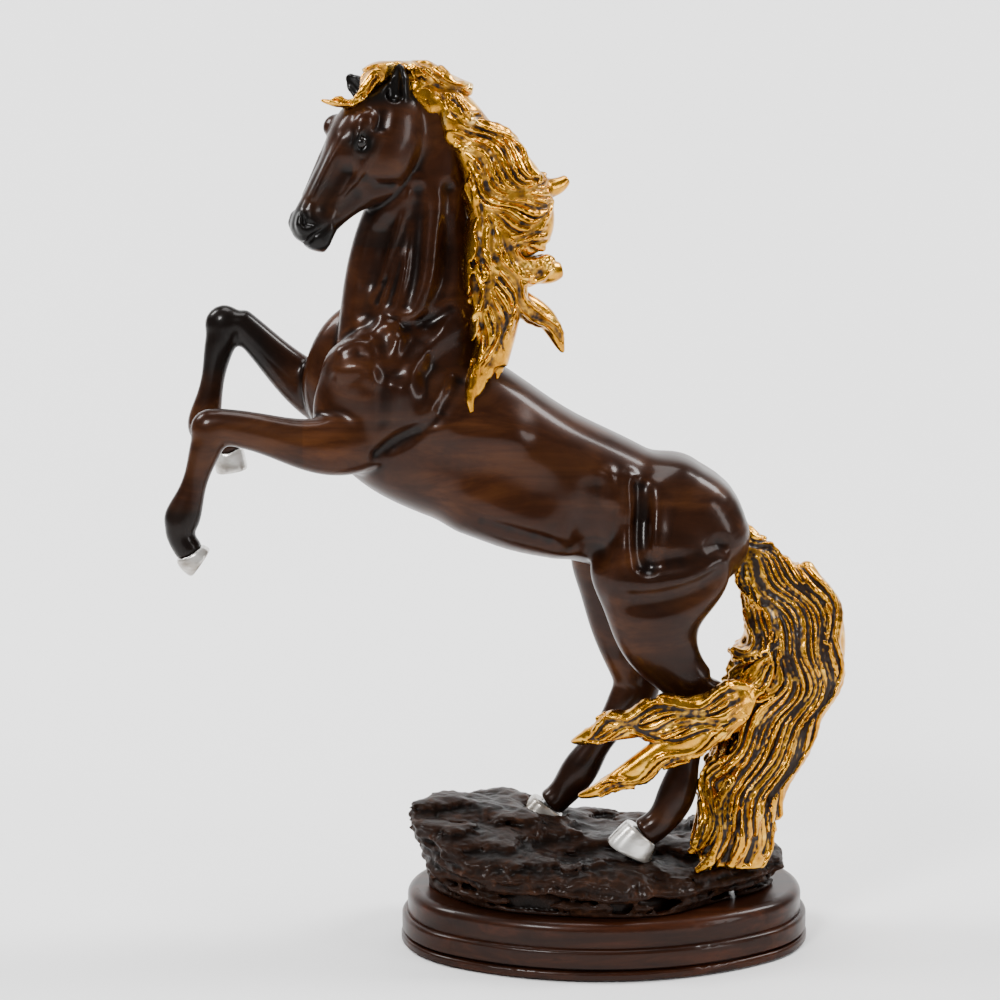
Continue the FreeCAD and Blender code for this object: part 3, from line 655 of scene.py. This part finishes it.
# Flow lines, how many broad locks, and how many fine strands.
MANE_COMBS = [
    (FORELOCK, 3, 6),
    (MANE_CREST, 4, 9),
    (MANE_SWEEP, 7, 15),
    (MANE_FALL, 6, 13),
    (MANE_FLICKS, 3, 6),
    (MANE_MIDDLE_FLICK, 3, 6),
]
TAIL_NODES = ["tail_fall", "tail_sweep"]
TAIL_COMBS = [(TAIL, 9, 18), (TAIL_CURL, 3, 5), (TAIL_INNER, 3, 6)]
SWEEP_COMBS = [(SWEEP_HIGH, 4, 8), (SWEEP_LOW, 4, 8)]
# Gaps between the ends of the tail's strands: (x, z, radius), on the near side.
TAIL_GAPS = [
    [(49, 37, 2.0), (51, 48, 1.6), (55, 62, 0.7)],
    [(58, 37, 2.3), (61, 46, 1.7), (65, 58, 0.7)],
    [(66, 37, 2.0), (69, 49, 1.5), (74, 66, 0.7)],
]
# Loose locks where the tail meets the rock: (x, z, radius), on the near side.
TAIL_LOOSE = [
    [(52, 84, 3.0), (47, 70, 3.4), (42, 58, 3.0), (35, 52, 1.6)],
    [(54, 72, 3.0), (49, 58, 3.2), (44, 48, 2.8), (38, 43, 1.6)],
    [(62, 70, 3.0), (58, 56, 3.2), (53, 46, 2.4)],
]


# Dark gaps between the locks on the near side: bars of (x, y, z, radius).
MANE_GAPS = [
    [(-60.5, -19, 312, 1.4), (-59.5, -20, 301, 2.0), (-59, -20, 290, 1.4)],
    [(-61, -22, 270, 1.2), (-56.5, -22, 264, 1.7), (-53.5, -22, 257, 1.3)],
    [(-48, -14, 296, 1.2), (-45.5, -13, 288, 1.9), (-45, -12, 277, 1.6)],
    [(-66, -16, 352, 1.1), (-63, -16, 344, 1.5), (-61, -17, 336, 1.0)],
]
# Loose locks on the near side.
MANE_LOOSE = [
    [(-66, -14, 371, 2.6), (-70, -15, 369.5, 2.4), (-73.5, -15, 369.5, 1.2)],
    [(-63, -16, 345, 2.2), (-62, -17, 330, 2.8), (-66, -17, 317, 2.4), (-71, -17, 308, 0.8)],
    [(-62, -18, 325, 2.2), (-63, -19, 309, 2.4), (-66, -19, 297, 0.8)],
    [(-57, -20, 296, 2.8), (-60, -21, 284, 2.8), (-66, -23, 277, 2.4), (-71.5, -24, 272, 0.8)],
    [(-54, -21, 280, 2.8), (-58, -23, 266, 2.8), (-62, -25, 255, 2.2), (-61, -26, 246, 0.8)],
    [(-50, -17, 280, 2.6), (-49, -18, 270, 2.6), (-49.5, -19, 262, 1.4)],
]


def parted(whole, cores):
    """Splits a sculpted mass into one piece for each core, along the surfaces midway between them."""
    pieces = []
    for name, core in cores.items():
        others = np.min([other.d for key, other in cores.items() if key != name], axis=0)
        part = Clay.like(whole)
        part.d = np.maximum(whole.d, (core.d - others) * 0.5 - 0.1)
        pieces.append((part.mesh(name + "_locks", whole), name))
    return pieces


# How far the mane's and the forelock's sculpted hair may stand out from their CAD masses.
MANE_PROUD = 2.4
FORELOCK_PROUD = 1.0
HAIR_TOP = 397.6
# Bars of (x, y, z, radius) that close the poll under the hair, and the crest behind the near ear.
POLL_FILL = [(-84, -9, 384, 4), (-76, -9, 377, 5), (-68, -9, 366, 5)]
EAR_FILL = [(-88, -6, 387, 4.0), (-84, -7, 385, 5.0), (-78, -8, 379, 5.0)]
# Room cut in the hair for each ear: centre and half sizes.
EAR_ROOM = [((-91.5, -17.5, 388), (6.6, 8, 13)), ((-113, -8, 388), (5, 16, 7.5))]
MANE_SEED, TAIL_SEED, SWEEP_SEED = 11, 211, 311


def make_mane():
    """The forelock and the mane, combed as one mass and then parted along their nodes."""
    low, high = box_round(MANE_NODES)
    cores = {node: Clay(low, high, HAIR_STEP, HAIR_REACH).solids([node]) for node in MANE_NODES}
    whole = Clay.like(cores["forelock"])
    whole.d = np.min([core.d for core in cores.values()], axis=0) + 0.5
    whole.put(chain(POLL_FILL), 3)
    whole.soften(1)
    for lock in MANE_LOOSE:
        whole.put(chain([tuple(p) for p in spline(lock, 9)]), 1.0)
    comb_over(whole, MANE_COMBS, MANE_SEED)
    for gap in MANE_GAPS:
        whole.put(chain(gap), 1.0, cut=True)
    behind = np.min([core.d for node, core in cores.items() if node != "forelock"], axis=0)
    limit = np.minimum(behind - MANE_PROUD, cores["forelock"].d - FORELOCK_PROUD)
    whole.d = np.maximum(whole.d, limit)
    whole.put(chain(EAR_FILL), 2.0)
    for centre, halves in EAR_ROOM:
        whole.put(egg(centre, halves), 1.5, cut=True)
    above_top = (np.arange(whole.size[2]) + whole.first[2]) * HAIR_STEP - HAIR_TOP
    whole.d = np.maximum(whole.d, above_top.astype(np.float32)[None, None, :])
    return parted(whole, cores)


# How deep the tail's root is let into the rump, and how far in the core of each mass is drawn.
TAIL_LET_IN = 2.0
FALL_INSET, SWEEP_INSET = 0.6, 0.5
# The swept locks thin out towards the tail from this x, by this share of the distance.
SWEEP_THIN_FROM = 50
SWEEP_THIN = 0.22
LOOSE_POINTS = 10


def make_tail():
    """The tail and its swept locks, each combed and then joined and parted along their nodes."""
    low, high = box_round(TAIL_NODES)

    def solid(nodes):
        return Clay(low, high, HAIR_STEP, HAIR_REACH).solids(nodes)

    rump = solid(["torso_shell"])
    fall = solid(["tail_fall", "torso_shell"])
    fall.d = np.maximum(fall.d, -rump.d - TAIL_LET_IN)
    cores = {"tail_fall": fall, "tail_sweep": solid(["tail_sweep"])}
    whole = Clay.like(fall)
    whole.d = fall.d + FALL_INSET
    whole.soften(2)
    near = low[1] + 6.5
    shares = np.linspace(0, 1, LOOSE_POINTS)
    for lock in TAIL_LOOSE:
        points = spline([(x, z) for x, z, radius in lock], LOOSE_POINTS)
        radii = np.interp(shares, np.linspace(0, 1, len(lock)), [radius for x, z, radius in lock])
        whole.put(chain([(x, near, z, radius) for (x, z), radius in zip(points, radii)]), 1.5)
    comb_over(whole, TAIL_COMBS, TAIL_SEED)
    faces = Faces(whole)
    for gap in TAIL_GAPS:
        bar = [(x, faces.at(x, z, -1), z, radius) for x, z, radius in gap]
        lay(whole, [point for point in bar if point[1] is not None], 1.0, True)
    sweep = Clay.like(fall)
    sweep.d = cores["tail_sweep"].d + SWEEP_INSET
    sweep.soften(1)
    comb_over(sweep, SWEEP_COMBS, SWEEP_SEED)
    past = np.maximum((np.arange(whole.size[0]) + whole.first[0]) * HAIR_STEP - SWEEP_THIN_FROM, 0)
    sweep.d = sweep.d + (past * SWEEP_THIN).astype(np.float32)[:, None, None]
    whole.d = smooth_min(whole.d, sweep.d, 2.5)
    return parted(whole, cores)


# ------------------------------------------------------------------ rock

def lattice(shape, cell, seed):
    """Smooth random values between -1 and 1 over a grid, with bumps of about cell grid steps."""
    rng = np.random.default_rng(seed)
    cells = [cell, cell, cell] if np.isscalar(cell) else cell
    small = rng.uniform(-1, 1, [int(math.ceil(n / c)) + 2 for n, c in zip(shape, cells)])
    for axis, (n, c) in enumerate(zip(shape, cells)):
        at = np.arange(n) / c
        low = at.astype(int)
        share = at - low
        share = share * share * (3 - 2 * share)
        small = np.moveaxis(small, axis, 0)
        form = [-1] + [1] * (small.ndim - 1)
        small = small[low] * (1 - share).reshape(form) + small[low + 1] * share.reshape(form)
        small = np.moveaxis(small, 0, axis)
    return small.astype(np.float32)


def heart_of(clay, skirt, roof):
    """The space under a casting's roof, kept skirt inside its outline and roof below its top."""
    inside = np.minimum.accumulate(clay.d[:, :, ::-1], axis=2)[:, :, ::-1] < 0
    drop = int(roof / clay.step)
    inside[:, :, :-drop] &= inside[:, :, drop:]
    inside[:, :, -drop:] = False
    for _ in range(int(skirt / clay.step)):
        for axis in (0, 1):
            inside &= np.roll(inside, 1, axis) & np.roll(inside, -1, axis)
    heart = Clay.like(clay)
    heart.d = np.where(inside, -3.0, 3.0).astype(np.float32)
    heart.soften(2)
    return heart.d


ROCK_FLOOR = 25.95
# The rock is left smooth where it meets the plinth, and is fully rough this far above it.
ROUGH_FROM, ROUGH_OVER = 26.5, 5.0
HEART_SKIRT, HEART_ROOF = 8.0, 7.0


def make_rock():
    """The rock casting with its broken, layered face."""
    step = ROCK_STEP
    low, high = box_of("rock_ground")
    low[2] = 24.0
    clay = Clay(low, high, step)
    clay.solids(["rock_ground"])
    clay.soften(1)
    heart = heart_of(clay, HEART_SKIRT, HEART_ROOF)
    shape = clay.d.shape
    z = (np.arange(shape[2]) + clay.first[2]) * step
    hold = np.clip((z - ROUGH_FROM) / ROUGH_OVER, 0, 1)[None, None, :].astype(np.float32)
    rough = 2.6 * lattice(shape, (16 / step, 14 / step, 7 / step), 31)
    rough += 1.7 * lattice(shape, (8 / step, 8 / step, 4 / step), 32)
    rough += 1.0 * np.abs(lattice(shape, (4 / step, 4 / step, 2.6 / step), 33))
    rough += 0.5 * lattice(shape, 2.0 / step, 34)
    strata = np.sin(z[None, None, :] * 1.15 + 2.2 * lattice(shape, 22 / step, 35))
    rough += 0.7 * strata
    clay.d = smooth_min(clay.d + hold * (rough + 0.5), heart, 2.0)
    floor = ROCK_FLOOR - z[None, None, :]
    clay.d = np.maximum(clay.d, floor.astype(np.float32) * np.ones(shape, np.float32))
    return clay.mesh("rock_crag")


# ------------------------------------------------------------------ hooves

def make_hoof(node):
    low, high = box_of(node)
    clay = Clay(low, high, HOOF_STEP)
    clay.solids([node])
    clay.soften(2)
    return clay.mesh(node + "_horn")


# ------------------------------------------------------------------ materials

class Maker:
    """A short way to write a shader's nodes."""

    def __init__(self, name):
        self.material = bpy.data.materials.new(name)
        self.material.use_nodes = True
        self.nodes = self.material.node_tree.nodes
        self.links = self.material.node_tree.links
        self.shader = self.nodes["Principled BSDF"]
        self.coords = self.nodes.new("ShaderNodeTexCoord").outputs["Object"]

    def attribute(self, name):
        node = self.nodes.new("ShaderNodeAttribute")
        node.attribute_name = name
        return node.outputs["Fac"]

    def stretched(self, scale, turn=(0, 0, 0)):
        node = self.nodes.new("ShaderNodeMapping")
        node.inputs["Scale"].default_value = scale
        node.inputs["Rotation"].default_value = turn
        self.links.new(self.coords, node.inputs["Vector"])
        return node.outputs["Vector"]

    def noise(self, vector, scale, detail=4.0, roughness=0.55, distortion=0.0):
        node = self.nodes.new("ShaderNodeTexNoise")
        node.inputs["Scale"].default_value = scale
        node.inputs["Detail"].default_value = detail
        node.inputs["Roughness"].default_value = roughness
        node.inputs["Distortion"].default_value = distortion
        self.links.new(vector, node.inputs["Vector"])
        return node.outputs["Fac"]

    def ramp(self, value, stops):
        node = self.nodes.new("ShaderNodeValToRGB")
        marks = node.color_ramp.elements
        marks[0].position, marks[1].position = stops[0][0], stops[-1][0]
        marks[0].color, marks[-1].color = (*stops[0][1], 1), (*stops[-1][1], 1)
        for place, colour in stops[1:-1]:
            marks.new(place).color = (*colour, 1)
        self.links.new(value, node.inputs["Fac"])
        return node.outputs["Color"]

    def blend(self, share, first, second, way="MIX"):
        node = self.nodes.new("ShaderNodeMix")
        node.data_type = "RGBA"
        node.blend_type = way
        for value, socket in ((share, node.inputs[0]), (first, node.inputs[6]), (second, node.inputs[7])):
            if isinstance(value, (tuple, float)):
                socket.default_value = value if isinstance(value, float) else (*value, 1)
            else:
                self.links.new(value, socket)
        return node.outputs[2]

    def rescale(self, value, low, high, new_low=0.0, new_high=1.0):
        node = self.nodes.new("ShaderNodeMapRange")
        for socket, number in zip(("From Min", "From Max", "To Min", "To Max"), (low, high, new_low, new_high)):
            node.inputs[socket].default_value = number
        self.links.new(value, node.inputs["Value"])
        return node.outputs["Result"]

    def bump(self, height, strength, distance):
        node = self.nodes.new("ShaderNodeBump")
        node.inputs["Strength"].default_value = strength
        node.inputs["Distance"].default_value = distance
        self.links.new(height, node.inputs["Height"])
        self.links.new(node.outputs["Normal"], self.shader.inputs["Normal"])

    def finish(self, colour, roughness, metallic=0.0, coat=0.0, coat_roughness=0.05, specular=0.5):
        self.links.new(colour, self.shader.inputs["Base Color"])
        if isinstance(roughness, float):
            self.shader.inputs["Roughness"].default_value = roughness
        else:
            self.links.new(roughness, self.shader.inputs["Roughness"])
        self.shader.inputs["Specular IOR Level"].default_value = specular
        self.shader.inputs["Metallic"].default_value = metallic
        self.shader.inputs["Coat Weight"].default_value = coat
        self.shader.inputs["Coat Roughness"].default_value = coat_roughness
        return self.material


def brown_bronze():
    """Patinated bronze under a brown lacquer, streaked along the body and black at the points, with painted
    shade on the rump and the far foreleg.
    """
    m = Maker("brown_lacquered_bronze")
    streaks = m.noise(m.stretched((16, 60, 60), (0, 0.45, 0)), 1.0, 6.0, 0.6, 0.6)
    clouds = m.noise(m.coords, 22.0, 3.0, 0.5)
    brown = m.ramp(streaks, [(0.25, (0.010, 0.0032, 0.0012)), (0.5, (0.034, 0.0098, 0.0028)),
                             (0.72, (0.085, 0.028, 0.0075))])
    brown = m.blend(m.rescale(clouds, 0.35, 0.7, 0.0, 0.7), brown, (0.012, 0.004, 0.002))
    worn = m.rescale(m.attribute("relief"), -2.0, 1.0)
    brown = m.blend(m.rescale(worn, 0.0, 0.6, 0.9, 0.0), brown, (0.004, 0.002, 0.0015))
    # The shade attribute darkens the patina's points and lays painted shade on the rump and the far foreleg.
    dark = m.blend(m.attribute("shade"), brown, (0.0045, 0.0035, 0.003))
    return m.finish(dark, m.rescale(streaks, 0.3, 0.7, 0.28, 0.38), 0.15, 0.2, 0.14, 0.08)


def gold_leaf(name, pale):
    """Gold leaf rubbed through to a dark ground in the hollows between the strands."""
    m = Maker(name)
    patches = m.noise(m.coords, 140.0, 5.0, 0.6, 0.4)
    gold = m.ramp(patches, [(0.3, (0.30, 0.110, 0.006)), (0.55, (0.64, 0.30, 0.020)), (0.8, pale)])
    rubbed = m.nodes.new("ShaderNodeMath")
    rubbed.operation = "MULTIPLY_ADD"
    m.links.new(patches, rubbed.inputs[0])
    rubbed.inputs[1].default_value = 2.2
    m.links.new(m.attribute("relief"), rubbed.inputs[2])
    share = m.rescale(rubbed.outputs[0], 0.3, 1.1)
    colour = m.blend(share, (0.014, 0.006, 0.0025), gold)
    m.links.new(m.rescale(share, 0.0, 1.0, 0.05, 1.0), m.shader.inputs["Metallic"])
    m.bump(m.noise(m.coords, 700.0, 3.0, 0.6), 0.25, 0.0003)
    return m.finish(colour, m.rescale(share, 0.0, 1.0, 0.42, 0.24), 0.0, 0.08, 0.1, 0.25)


def horn():
    m = Maker("silvered_horn")
    rings = m.noise(m.stretched((60, 60, 130)), 1.0, 3.0)
    colour = m.ramp(rings, [(0.34, (0.16, 0.13, 0.10)), (0.5, (0.46, 0.43, 0.39)), (0.64, (0.80, 0.78, 0.74))])
    return m.finish(colour, 0.26, 0.55, 0.5, 0.08)


def crag():
    m = Maker("dark_rock_lacquer")
    grain = m.noise(m.coords, 130.0, 6.0, 0.65, 0.3)
    relief = m.rescale(m.attribute("relief"), -2.0, 2.0)
    colour = m.ramp(grain, [(0.3, (0.006, 0.0028, 0.0018)), (0.55, (0.018, 0.0072, 0.0036)),
                            (0.8, (0.060, 0.022, 0.009))])
    colour = m.blend(m.rescale(relief, 0.15, 0.55, 0.9, 0.0), colour, (0.003, 0.002, 0.0015))
    m.bump(grain, 0.5, 0.0012)
    return m.finish(colour, m.rescale(grain, 0.3, 0.7, 0.35, 0.55), 0.0, 0.08, 0.12, 0.05)


def plinth_wood():
    m = Maker("plinth_mahogany")
    grain = m.noise(m.stretched((9, 70, 120)), 1.0, 7.0, 0.62, 0.8)
    pores = m.noise(m.stretched((60, 600, 700)), 1.0, 3.0)
    colour = m.ramp(grain, [(0.28, (0.009, 0.003, 0.0015)), (0.5, (0.020, 0.0058, 0.0022)),
                            (0.75, (0.052, 0.014, 0.0048))])
    colour = m.blend(m.rescale(pores, 0.58, 0.75, 0.0, 0.5), colour, (0.006, 0.0025, 0.0015))
    return m.finish(colour, 0.34, 0.0, 0.13, 0.12, 0.1)


def felt():
    m = Maker("green_felt")
    fuzz = m.noise(m.coords, 900.0, 4.0, 0.7)
    colour = m.ramp(fuzz, [(0.3, (0.006, 0.022, 0.012)), (0.7, (0.020, 0.060, 0.032))])
    m.bump(fuzz, 0.4, 0.0005)
    return m.finish(colour, 0.95)


def steel():
    m = Maker("zinc_steel")
    spangle = m.noise(m.coords, 500.0, 3.0)
    colour = m.ramp(spangle, [(0.35, (0.42, 0.43, 0.44)), (0.7, (0.62, 0.63, 0.65))])
    return m.finish(colour, m.rescale(spangle, 0.3, 0.7, 0.28, 0.42), 1.0)


def eye_glass():
    m = Maker("eye_black")
    depth = m.noise(m.coords, 300.0, 2.0)
    colour = m.ramp(depth, [(0.3, (0.004, 0.003, 0.003)), (0.7, (0.012, 0.008, 0.006))])
    return m.finish(colour, 0.2, 0.0, 0.22, 0.06, 0.2)


# Where the skin darkens: the patina's dark points, darker eyes, near fetlock and lower hind legs, and painted
# shade on the rump and the far foreleg.
HEAD_BELOW_X, HEAD_ABOVE_Z = -84, 318
MUZZLE_FROM, NOSE_FROM = 58, 40
EYE_SPREAD = 7
EARS_FROM_Z = 376
RUMP_SHADE_FROM_X = 5
FOREARM_END_X = -134
FAR_KNEE_SHADE_BELOW_Z, NEAR_KNEE_BELOW_Z = 300, 260
FAR_CANNON_SHADE_Z = 236
FETLOCK_Z = 196
HOCKS_BELOW_Z = 122


def fade(value, length, most=1.0, least=0.0):
    """Rises from nothing over a length, and stays between least and most."""
    return np.clip(value / length, least, most)


def shade_skin(piece):
    """Marks how dark the skin is: dark patina on the muzzle and ears; darker round the eyes, at the near
    fetlock and towards the bottom of the hind legs; painted shade over the rump and on the far foreleg's knee
    and cannon.
    """
    data = piece.data
    co = np.empty(len(data.vertices) * 3, np.float32)
    data.vertices.foreach_get("co", co)
    x, y, z = (co.reshape(-1, 3) * 1000).T
    ahead, above, aside = ((np.stack([x, y, z], 1) - POLL) @ np.stack([AHEAD, ABOVE, ASIDE], 1)).T
    is_head = (z > HEAD_ABOVE_Z) & (x < HEAD_BELOW_X)
    darkness = [
        fade(ahead - MUZZLE_FROM, 16) * is_head,
        fade(ahead - NOSE_FROM, 30, 0.6) * is_head,
        np.clip(1.6 - np.hypot(ahead - 35, above - 5) / 6.0, 0, 1) * is_head * (np.abs(aside) > EYE_SPREAD),
        fade(z - EARS_FROM_Z, 6) * (x < HEAD_BELOW_X),
        # Painted shade: the hindquarters darken towards the tail, away from where the light falls.
        fade(x - RUMP_SHADE_FROM_X, 70, 0.3),
        # Painted shade: the far foreleg, behind the near one, darkens at the knee and down the upper cannon.
        fade(FOREARM_END_X - x, 22, 0.92) * (z < FAR_KNEE_SHADE_BELOW_Z) * fade(z - FAR_CANNON_SHADE_Z, 26, 1, 0.25) * (y > 0),
        np.clip(1.7 - np.abs(z - FETLOCK_Z) / 11, 0.25, 0.9)
        * (x < FOREARM_END_X) * (y <= 0) * (z < NEAR_KNEE_BELOW_Z),
        fade(HOCKS_BELOW_Z - z, 45, 0.45),
    ]
    made = data.attributes.new("shade", "FLOAT", "POINT")
    made.data.foreach_set("value", np.max(darkness, axis=0).astype(np.float32))


def dress(piece, material, slot, *nodes):
    """Gives a piece its material and its body, and hides the CAD nodes that it stands in for. The slot is not
    used.
    """
    piece.data.materials.clear()
    piece.data.materials.append(material)
    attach(piece, "root")
    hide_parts(*nodes)


skin = make_skin()
shade_skin(skin)
dress(skin, brown_bronze(), "bronze_brown", "torso_shell", "neck_shell", "head", "left_ear", "right_ear",
      "left_foreleg", "right_foreleg", "left_hind_leg", "right_hind_leg")
leaf = gold_leaf("gold_leaf", (0.92, 0.58, 0.11))
# A paler copy of the gold leaf for the forelock, crest and upper mane: painted light on the top of the hair.
lit_top_gold_leaf = gold_leaf("gold_leaf_painted_lit", (0.98, 0.78, 0.36))
LIT_TOP_NODES = ("forelock", "mane_crest", "mane_upper")
for piece, node in make_mane() + make_tail():
    dress(piece, lit_top_gold_leaf if node in LIT_TOP_NODES else leaf, "gilt_hair", node)
dress(make_rock(), crag(), "rock_bronze", "rock_ground")
horn_material = horn()
for node in ("left_fore_hoof", "right_fore_hoof", "left_hind_hoof", "right_hind_hoof"):
    dress(make_hoof(node), horn_material, "silvered_hoof", node)

CARRIED = {
    "left_eye": eye_glass, "right_eye": eye_glass, "plinth_upper_tier": plinth_wood,
    "plinth_lower_tier": plinth_wood, "felt_pad": felt, "hoof_studs": steel, "tail_stud": steel,
    "foreleg_dowels": steel, "plinth_screws": steel, "fixing_nuts": steel, "fixing_washers": steel,
}
made_materials = {}
for node, make in CARRIED.items():
    if make not in made_materials:
        made_materials[make] = make()
    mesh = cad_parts[node].data
    mesh.materials.clear()
    mesh.materials.append(made_materials[make])

# ------------------------------------------------------------------ stage

# Metres from here on.
FLOOR_REACH = 4.0
BEND_FROM, BEND, BEND_FACETS = 0.9, 1.1, 12
WORLD_STRENGTH = 0.18
# Each light's place, aim, size and watts.
LIGHTS = {
    "key": ((-0.75, -1.25, 1.15), (-0.04, 0, 0.22), (0.35, 0.35), 22),
    "fill": ((1.3, -0.9, 0.6), (-0.04, 0, 0.2), (0.3, 0.8), 8),
    "top": ((0.0, 0.1, 1.7), (-0.04, 0, 0.2), (0.7, 0.7), 14),
    "backdrop_left": ((-1.6, 0.3, 1.8), (-0.3, 2.0, 0.6), (0.8, 0.8), 75),
    "backdrop_right": ((1.6, 0.3, 1.8), (0.3, 2.0, 0.6), (0.8, 0.8), 75),
}
CAMERA_PLACE = (-0.104587, -1.195434, 0.430)
CAMERA_AIM = (0.0466, 0.9815, -0.1855)
CAMERA_LENS, CAMERA_SENSOR = 98.46, 36


def sweep_backdrop():
    """A pale studio floor that curves up into a backdrop behind the statue."""
    profile = [(-FLOOR_REACH, 0.0), (BEND_FROM, 0.0)]
    for n in range(1, BEND_FACETS + 1):
        angle = math.pi / 2 * n / BEND_FACETS
        profile.append((BEND_FROM + BEND * math.sin(angle), BEND - BEND * math.cos(angle)))
    profile.append((BEND_FROM + BEND, FLOOR_REACH))
    points = [(x, y, z) for y, z in profile for x in (-FLOOR_REACH, FLOOR_REACH)]
    quads = [(2 * n, 2 * n + 1, 2 * n + 3, 2 * n + 2) for n in range(len(profile) - 1)]
    data = bpy.data.meshes.new("studio_floor")
    data.from_pydata(points, [], quads)
    for polygon in data.polygons:
        polygon.use_smooth = True
    piece = bpy.data.objects.new("studio_floor", data)
    bpy.context.scene.collection.objects.link(piece)
    m = Maker("pale_paper")
    colour = m.ramp(m.noise(m.coords, 2.0), [(0.3, (0.93, 0.93, 0.93)), (0.7, (0.95, 0.95, 0.95))])
    data.materials.append(m.finish(colour, 0.95))
    return piece


sweep_backdrop()

world = bpy.data.worlds.new("studio")
bpy.context.scene.world = world
world.use_nodes = True
world.node_tree.nodes["Background"].inputs[0].default_value = (1, 1, 1, 1)
world.node_tree.nodes["Background"].inputs[1].default_value = WORLD_STRENGTH


def soft_light(name, place, target, size, power):
    data = bpy.data.lights.new(name, "AREA")
    data.shape = "RECTANGLE"
    data.size, data.size_y = size
    data.energy = power
    lamp = bpy.data.objects.new(name, data)
    lamp.location = place
    lamp.rotation_euler = (Vector(target) - Vector(place)).to_track_quat("-Z", "Y").to_euler()
    bpy.context.scene.collection.objects.link(lamp)


for lamp_name, (lamp_place, lamp_target, lamp_size, watts) in LIGHTS.items():
    soft_light(lamp_name, lamp_place, lamp_target, lamp_size, watts)

camera_data = bpy.data.cameras.new("camera")
camera_data.lens = CAMERA_LENS
camera_data.sensor_width = CAMERA_SENSOR
camera = bpy.data.objects.new("camera", camera_data)
camera.location = CAMERA_PLACE
camera.rotation_euler = Vector(CAMERA_AIM).to_track_quat("-Z", "Y").to_euler()
bpy.context.scene.collection.objects.link(camera)
bpy.context.scene.camera = camera
